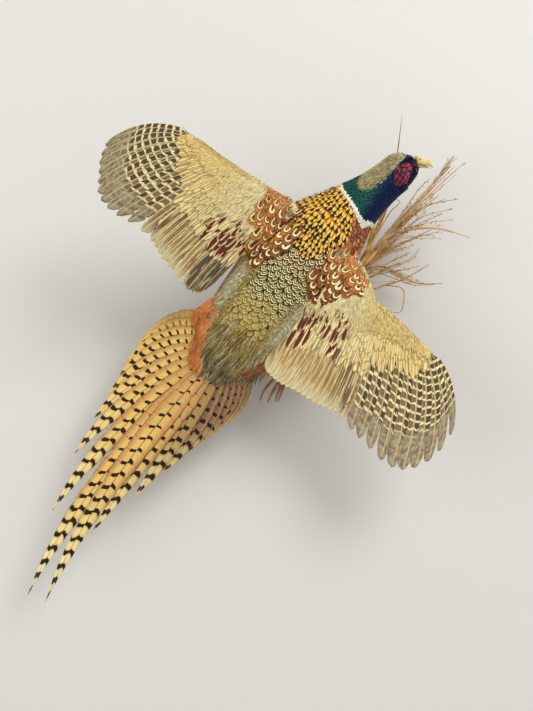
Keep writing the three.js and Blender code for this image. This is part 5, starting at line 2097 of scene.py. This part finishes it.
SHEAF = {
    "core": ((2, -122, 31), (23, -65, 26.5), (59, -23, 26.5), (89, 4, 31)),
    "radii": (5, 7, 7, 6), "leaves": (13, 14, 16), "red": 16, "butts": 17,
    "stems": (
        (2.0, ((89, 4, 31), (116, 31, 48), (154, 80, 60), (197, 128, 74), (222, 159, 80))),
        (1.3, ((88, 3, 31), (116, 28, 46), (160, 80, 56), (209, 128, 66), (242, 158, 70))),
        (1.0, ((88, 4, 31), (116, 39, 48), (154, 85, 64), (177, 119, 78), (190, 132, 84))),
        (1.1, ((88, 4, 31), (119, 37, 46), (160, 77, 58), (192, 107, 68), (214, 128, 72))),
        (1.2, ((88, 3, 31), (122, 28, 44), (158, 72, 54), (189, 99, 60), (236, 109, 64))),
        (1.0, ((88, 3, 31), (122, 28, 44), (158, 62, 50), (183, 76, 54), (213, 90, 56))),
        (1.4, ((88, 4, 31), (124, 45, 50), (158, 65, 60), (203, 68, 70), (250, 54, 72))),
        (1.5, ((88, 3, 31), (128, 34, 42), (155, 46, 50), (180, 58, 56), (204, 70, 60))),
        (1.4, ((88, 3, 31), (120, 23, 42), (142, 38, 46), (165, 43, 48))),
        (1.0, ((84, 0, 30), (109, -1, 36), (139, 14, 42), (170, 27, 48), (183, 42, 52))),
        (1.5, ((88, 3, 31), (126, 18, 38), (151, 7, 42), (181, -7, 46), (215, -8, 50))),
        (1.6, ((80, -4, 29), (113, -15, 32), (136, -9, 34), (162, -1, 38), (197, 19, 44))),
        (0.9, ((136, -9, 34), (159, -14, 40), (162, -30, 40), (157, -47, 36), (142, -47, 34))),
        (2.0, ((86, 3, 31), (105, 25, 46), (114, 58, 54), (121, 89, 62), (128, 104, 66))),
        (1.7, ((86, 3, 31), (108, 28, 46), (120, 64, 56), (134, 95, 64), (146, 115, 70))),
        (1.1, ((88, 4, 31), (121, 58, 52), (140, 90, 60), (153, 104, 66), (141, 110, 66))),
        (0.9, ((88, 4, 31), (129, 78, 56), (145, 135, 66), (150, 178, 74), (155, 222, 80))),
        (2.0, ((4, -116, 31), (-23, -160, 44), (-30, -175, 46))),
        (2.0, ((4, -116, 31), (-14, -157, 42), (-20, -174, 44))),
        (1.8, ((5, -116, 31), (-8, -154, 40), (-16, -174, 42))),
        (1.8, ((3, -116, 31), (-32, -154, 46), (-41, -172, 48))),
    ),
}


def stem_path(path):
    """A stem's path read at five even places."""
    return along_curve(spots(path), np.linspace(0, 1, 5))


def fine_stems(draw, paths):
    """Thin stalks that run between neighbouring stems of the sheaf."""
    made = []
    for _ in range(46):
        first = draw.integers(0, len(paths) - 1)
        path = mixed(paths[first], paths[first + 1], draw.random())
        path = path + draw.normal(0, 1, 3) * np.linspace(0, 5, 5)[:, None]
        made.append(along_curve(path, np.linspace(0, 0.6 + 0.38 * draw.random(), 5)))
    return made


def make_grass():
    draw = np.random.default_rng(SEED + 10)
    material = look_of("Straw")
    limbs = [Limb(spots(SHEAF["core"]), SHEAF["radii"])]
    tints = [linear(0x8A6B45)]
    for k, (thick, path) in enumerate(SHEAF["stems"]):
        leaf = k in SHEAF["leaves"]
        widths = np.array([0.7, 1.4, 1.3, 0.3]) if leaf else np.array([1, 1, 0.8, 0.4])
        share = 0.8 if k < SHEAF["butts"] else 1.25
        limbs.append(Limb(spots(path), widths * thick * share, 0.25 if leaf else 1.0))
        tints.append(mixed(linear(0xFAD082), linear(0xDDA452), draw.random())
                     if k < SHEAF["butts"] else linear(0xC79E7C))
    for leaf in SHEAF["leaves"][:2]:
        tints[1 + leaf] = linear(0xF4BE58)
    tints[1 + SHEAF["red"]] = linear(0xA8643C)
    limb_piece("Grass", limbs, 10, 40, np.array(tints), material,
               ("grass_sheaf",))
    paths = fine_stems(draw, [stem_path(path) for _, path in SHEAF["stems"][:12]])
    limbs = [Limb(path, np.array([1, 0.9, 0.7]) * mixed(0.4, 0.75, draw.random()))
             for path in paths]
    head = stem_path(SHEAF["stems"][0][1])
    for share in mixed(0.68, 0.98, draw.random(44)):
        start = along_curve(head, share)
        ahead = unit(along_curve(head, 1) - along_curve(head, 0.8)) + draw.normal(0, 0.16, 3)
        end = start + ahead * mixed(9, 16, draw.random())
        limbs.append(Limb([start, (start + end) / 2, end], (0.4, 0.5, 0.3)))
    tints = mixed(linear(0xF2D79A), linear(0xC99A66), draw.random((len(limbs), 1)))
    limb_piece("Grass_fine", limbs, 5, 12, tints, material)
    seed = bead_template(1)
    places, turns = [], []
    for path in paths + [stem_path(path) for _, path in SHEAF["stems"][1:6]]:
        for share in mixed(0.62, 1.0, draw.random(9)):
            places.append(along_curve(path, share) + draw.normal(0, 1.3, 3))
            turns.append(unit(along_curve(path, 1) - along_curve(path, 0.9)))
    middle, ahead = np.array(places), np.array(turns)
    body = np.stack([seed.across, seed.along, seed.keel], -1)[None] * 0.75
    body = body + ahead[:, None] * dot(body, ahead[:, None])[..., None] * 1.2
    count = len(middle)
    flat = np.stack([seed.across, seed.along], -1) * 0.5 + 0.5
    patch = draw.random((count, 2))
    tint = mixed(linear(0xF5E0A8), linear(0xD0A468), draw.random((count, 1)))
    obj = joined("Grass_seeds", seed, middle[:, None] + body, tint, flat, patch,
                 with_seed(draw, count))
    finish(obj, material)


def make_mount():
    for node, material in (("wall_board", look_of("Wood")), ("mount_rod", steel())):
        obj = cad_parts[node]
        for slot in obj.material_slots:
            slot.material = material


# ---- stage -------------------------------------------------------------------------------
CAMERA_AT = (-0.0317, -1.710, -0.1087)
LENS = 40.0


def panel(name, size_m, centre, turn, material):
    bm = bmesh.new()
    bmesh.ops.create_grid(bm, x_segments=1, y_segments=1, size=0.5)
    bmesh.ops.scale(bm, verts=bm.verts, vec=(size_m[0], size_m[1], 1))
    bmesh.ops.rotate(bm, verts=bm.verts, matrix=Matrix.Rotation(turn, 3, "X"))
    bmesh.ops.translate(bm, verts=bm.verts, vec=centre)
    mesh = bpy.data.meshes.new(name)
    bm.to_mesh(mesh)
    bm.free()
    obj = new_object(name, mesh)
    obj.data.materials.append(material)
    return obj


def area_lamp(name, energy, size_m, place, target):
    lamp = bpy.data.lights.new(name, "AREA")
    lamp.energy, lamp.shape, lamp.size = energy, "DISK", size_m
    obj = new_object(name, lamp)
    obj.location = place
    aim = Vector(target) - Vector(place)
    obj.rotation_euler = aim.to_track_quat("-Z", "Y").to_euler()


def make_stage():
    scene = bpy.context.scene
    wall = material_of("Wall", lambda n: (linear(0xE3E1DC), None), 0.9)
    n = Nodes(wall.node_tree)
    inputs = {0: n.value("ShaderNodeNewGeometry", output="Backfacing"),
              1: Value(n, n.tree.nodes["Principled BSDF"].outputs[0]),
              2: n.value("ShaderNodeBsdfTransparent")}
    n.put(n.tree.nodes["Material Output"].inputs[0], n.value("ShaderNodeMixShader", inputs))
    panel("Stage_wall", (9, 9), (0, 0.004, 0), math.pi / 2, wall)
    floor = material_of("Floor", lambda n: (linear(0xDCDAD5), None), 0.9)
    panel("Stage_floor", (9, 9), (0, 0, -1.6), 0, floor)
    area_lamp("Key", 33, 1.2, (1.1, -2.0, 1.3), (0, -0.1, 0))
    area_lamp("Fill", 14.5, 2.0, (-1.8, -1.8, 0.2), (0, -0.1, 0))
    world = bpy.data.worlds.new("World")
    scene.world = world
    world.use_nodes = True
    world.node_tree.nodes["Background"].inputs[0].default_value = (1, 1, 1, 1)
    world.node_tree.nodes["Background"].inputs[1].default_value = 0.55
    lens = bpy.data.cameras.new("Camera")
    lens.sensor_fit, lens.sensor_height, lens.lens = "VERTICAL", 24, LENS
    lens.clip_start = 0.01
    camera = new_object("Camera", lens)
    camera.location = CAMERA_AT
    camera.rotation_euler = (math.pi / 2, 0, 0)
    scene.camera = camera
    scene.view_settings.view_transform = "Standard"


# ---- operators ---------------------------------------------------------------------------
class PHEASANT_OT_skin(bpy.types.Operator):
    """Covers the flesh of body, neck, head, thighs and wing arms with one skin"""
    bl_idname = "pheasant.skin"
    bl_label = "Skin"

    def execute(self, context):
        make_skin()
        return {"FINISHED"}


class PHEASANT_OT_eyes(bpy.types.Operator):
    """Sets the glass eyes in their lids"""
    bl_idname = "pheasant.eyes"
    bl_label = "Eyes and lids"

    def execute(self, context):
        make_eyes()
        return {"FINISHED"}


class PHEASANT_OT_wattles(bpy.types.Operator):
    """Makes the bare, beaded skin round the eyes"""
    bl_idname = "pheasant.wattles"
    bl_label = "Wattles"

    def execute(self, context):
        make_wattles()
        return {"FINISHED"}


class PHEASANT_OT_bill(bpy.types.Operator):
    """Makes both halves of the bill"""
    bl_idname = "pheasant.bill"
    bl_label = "Bill"

    def execute(self, context):
        make_bill()
        return {"FINISHED"}


class PHEASANT_OT_body_coat(bpy.types.Operator):
    """Lays the feathers of mantle, back, breast, flanks and vent"""
    bl_idname = "pheasant.body_coat"
    bl_label = "Body feathers"

    def execute(self, context):
        make_body_coat()
        return {"FINISHED"}


class PHEASANT_OT_neck_coat(bpy.types.Operator):
    """Lays the feathers of neck, face and crown"""
    bl_idname = "pheasant.neck_coat"
    bl_label = "Neck and head feathers"

    def execute(self, context):
        make_neck_coat()
        return {"FINISHED"}


class PHEASANT_OT_scapulars(bpy.types.Operator):
    """Lays the scapulars over the joints of body and wings"""
    bl_idname = "pheasant.scapulars"
    bl_label = "Scapulars"

    def execute(self, context):
        make_scapulars()
        return {"FINISHED"}


class PHEASANT_OT_rump(bpy.types.Operator):
    """Lays the loose feathers over the root of the tail"""
    bl_idname = "pheasant.rump"
    bl_label = "Rump feathers"

    def execute(self, context):
        make_rump()
        return {"FINISHED"}


class PHEASANT_OT_wings(bpy.types.Operator):
    """Makes the quills and coverts of both wings"""
    bl_idname = "pheasant.wings"
    bl_label = "Wings"

    def execute(self, context):
        for name in WINGS:
            make_flights(name)
            make_coverts(name)
        return {"FINISHED"}


class PHEASANT_OT_tail(bpy.types.Operator):
    """Makes the eighteen tail feathers"""
    bl_idname = "pheasant.tail"
    bl_label = "Tail"

    def execute(self, context):
        make_tail()
        return {"FINISHED"}


class PHEASANT_OT_legs(bpy.types.Operator):
    """Makes feet, claws, spurs and the feathers of the thighs"""
    bl_idname = "pheasant.legs"
    bl_label = "Legs"

    def execute(self, context):
        make_legs()
        return {"FINISHED"}


class PHEASANT_OT_grass(bpy.types.Operator):
    """Makes the sheaf of dried grass"""
    bl_idname = "pheasant.grass"
    bl_label = "Grass"

    def execute(self, context):
        make_grass()
        return {"FINISHED"}


class PHEASANT_OT_mount(bpy.types.Operator):
    """Finishes the wall board and its rod"""
    bl_idname = "pheasant.mount"
    bl_label = "Mount"

    def execute(self, context):
        make_mount()
        return {"FINISHED"}


class PHEASANT_OT_stage(bpy.types.Operator):
    """Sets up wall, floor, lamps and camera"""
    bl_idname = "pheasant.stage"
    bl_label = "Stage"

    def execute(self, context):
        make_stage()
        return {"FINISHED"}


STEPS = (
    PHEASANT_OT_skin, PHEASANT_OT_eyes, PHEASANT_OT_wattles, PHEASANT_OT_bill,
    PHEASANT_OT_body_coat, PHEASANT_OT_neck_coat, PHEASANT_OT_scapulars, PHEASANT_OT_rump,
    PHEASANT_OT_wings, PHEASANT_OT_tail, PHEASANT_OT_legs, PHEASANT_OT_grass,
    PHEASANT_OT_mount, PHEASANT_OT_stage,
)


class PHEASANT_PT_panel(bpy.types.Panel):
    """Lists the sizes, the colours and the steps that make the bird"""
    bl_idname = "PHEASANT_PT_panel"
    bl_label = "Pheasant"
    bl_space_type = "VIEW_3D"
    bl_region_type = "UI"
    bl_category = "Pheasant"

    def draw(self, context):
        for group in (context.scene.pheasant_sizes, context.scene.pheasant_colours):
            box = self.layout.box()
            for key in group.bl_rna.properties.keys():
                if key not in ("rna_type", "name"):
                    box.prop(group, key)
        for step in STEPS:
            self.layout.operator(step.bl_idname)


CLASSES = (PheasantColours, PheasantSizes, *STEPS, PHEASANT_PT_panel)


def register():
    for each in CLASSES:
        bpy.utils.register_class(each)
    bpy.types.Scene.pheasant_colours = bpy.props.PointerProperty(type=PheasantColours)
    bpy.types.Scene.pheasant_sizes = bpy.props.PointerProperty(type=PheasantSizes)


def unregister():
    del bpy.types.Scene.pheasant_sizes
    del bpy.types.Scene.pheasant_colours
    for each in reversed(CLASSES):
        bpy.utils.unregister_class(each)


def main():
    register()
    for step in STEPS:
        group, name = step.bl_idname.split(".")
        getattr(getattr(bpy.ops, group), name)()


if __name__ == "__main__":
    main()
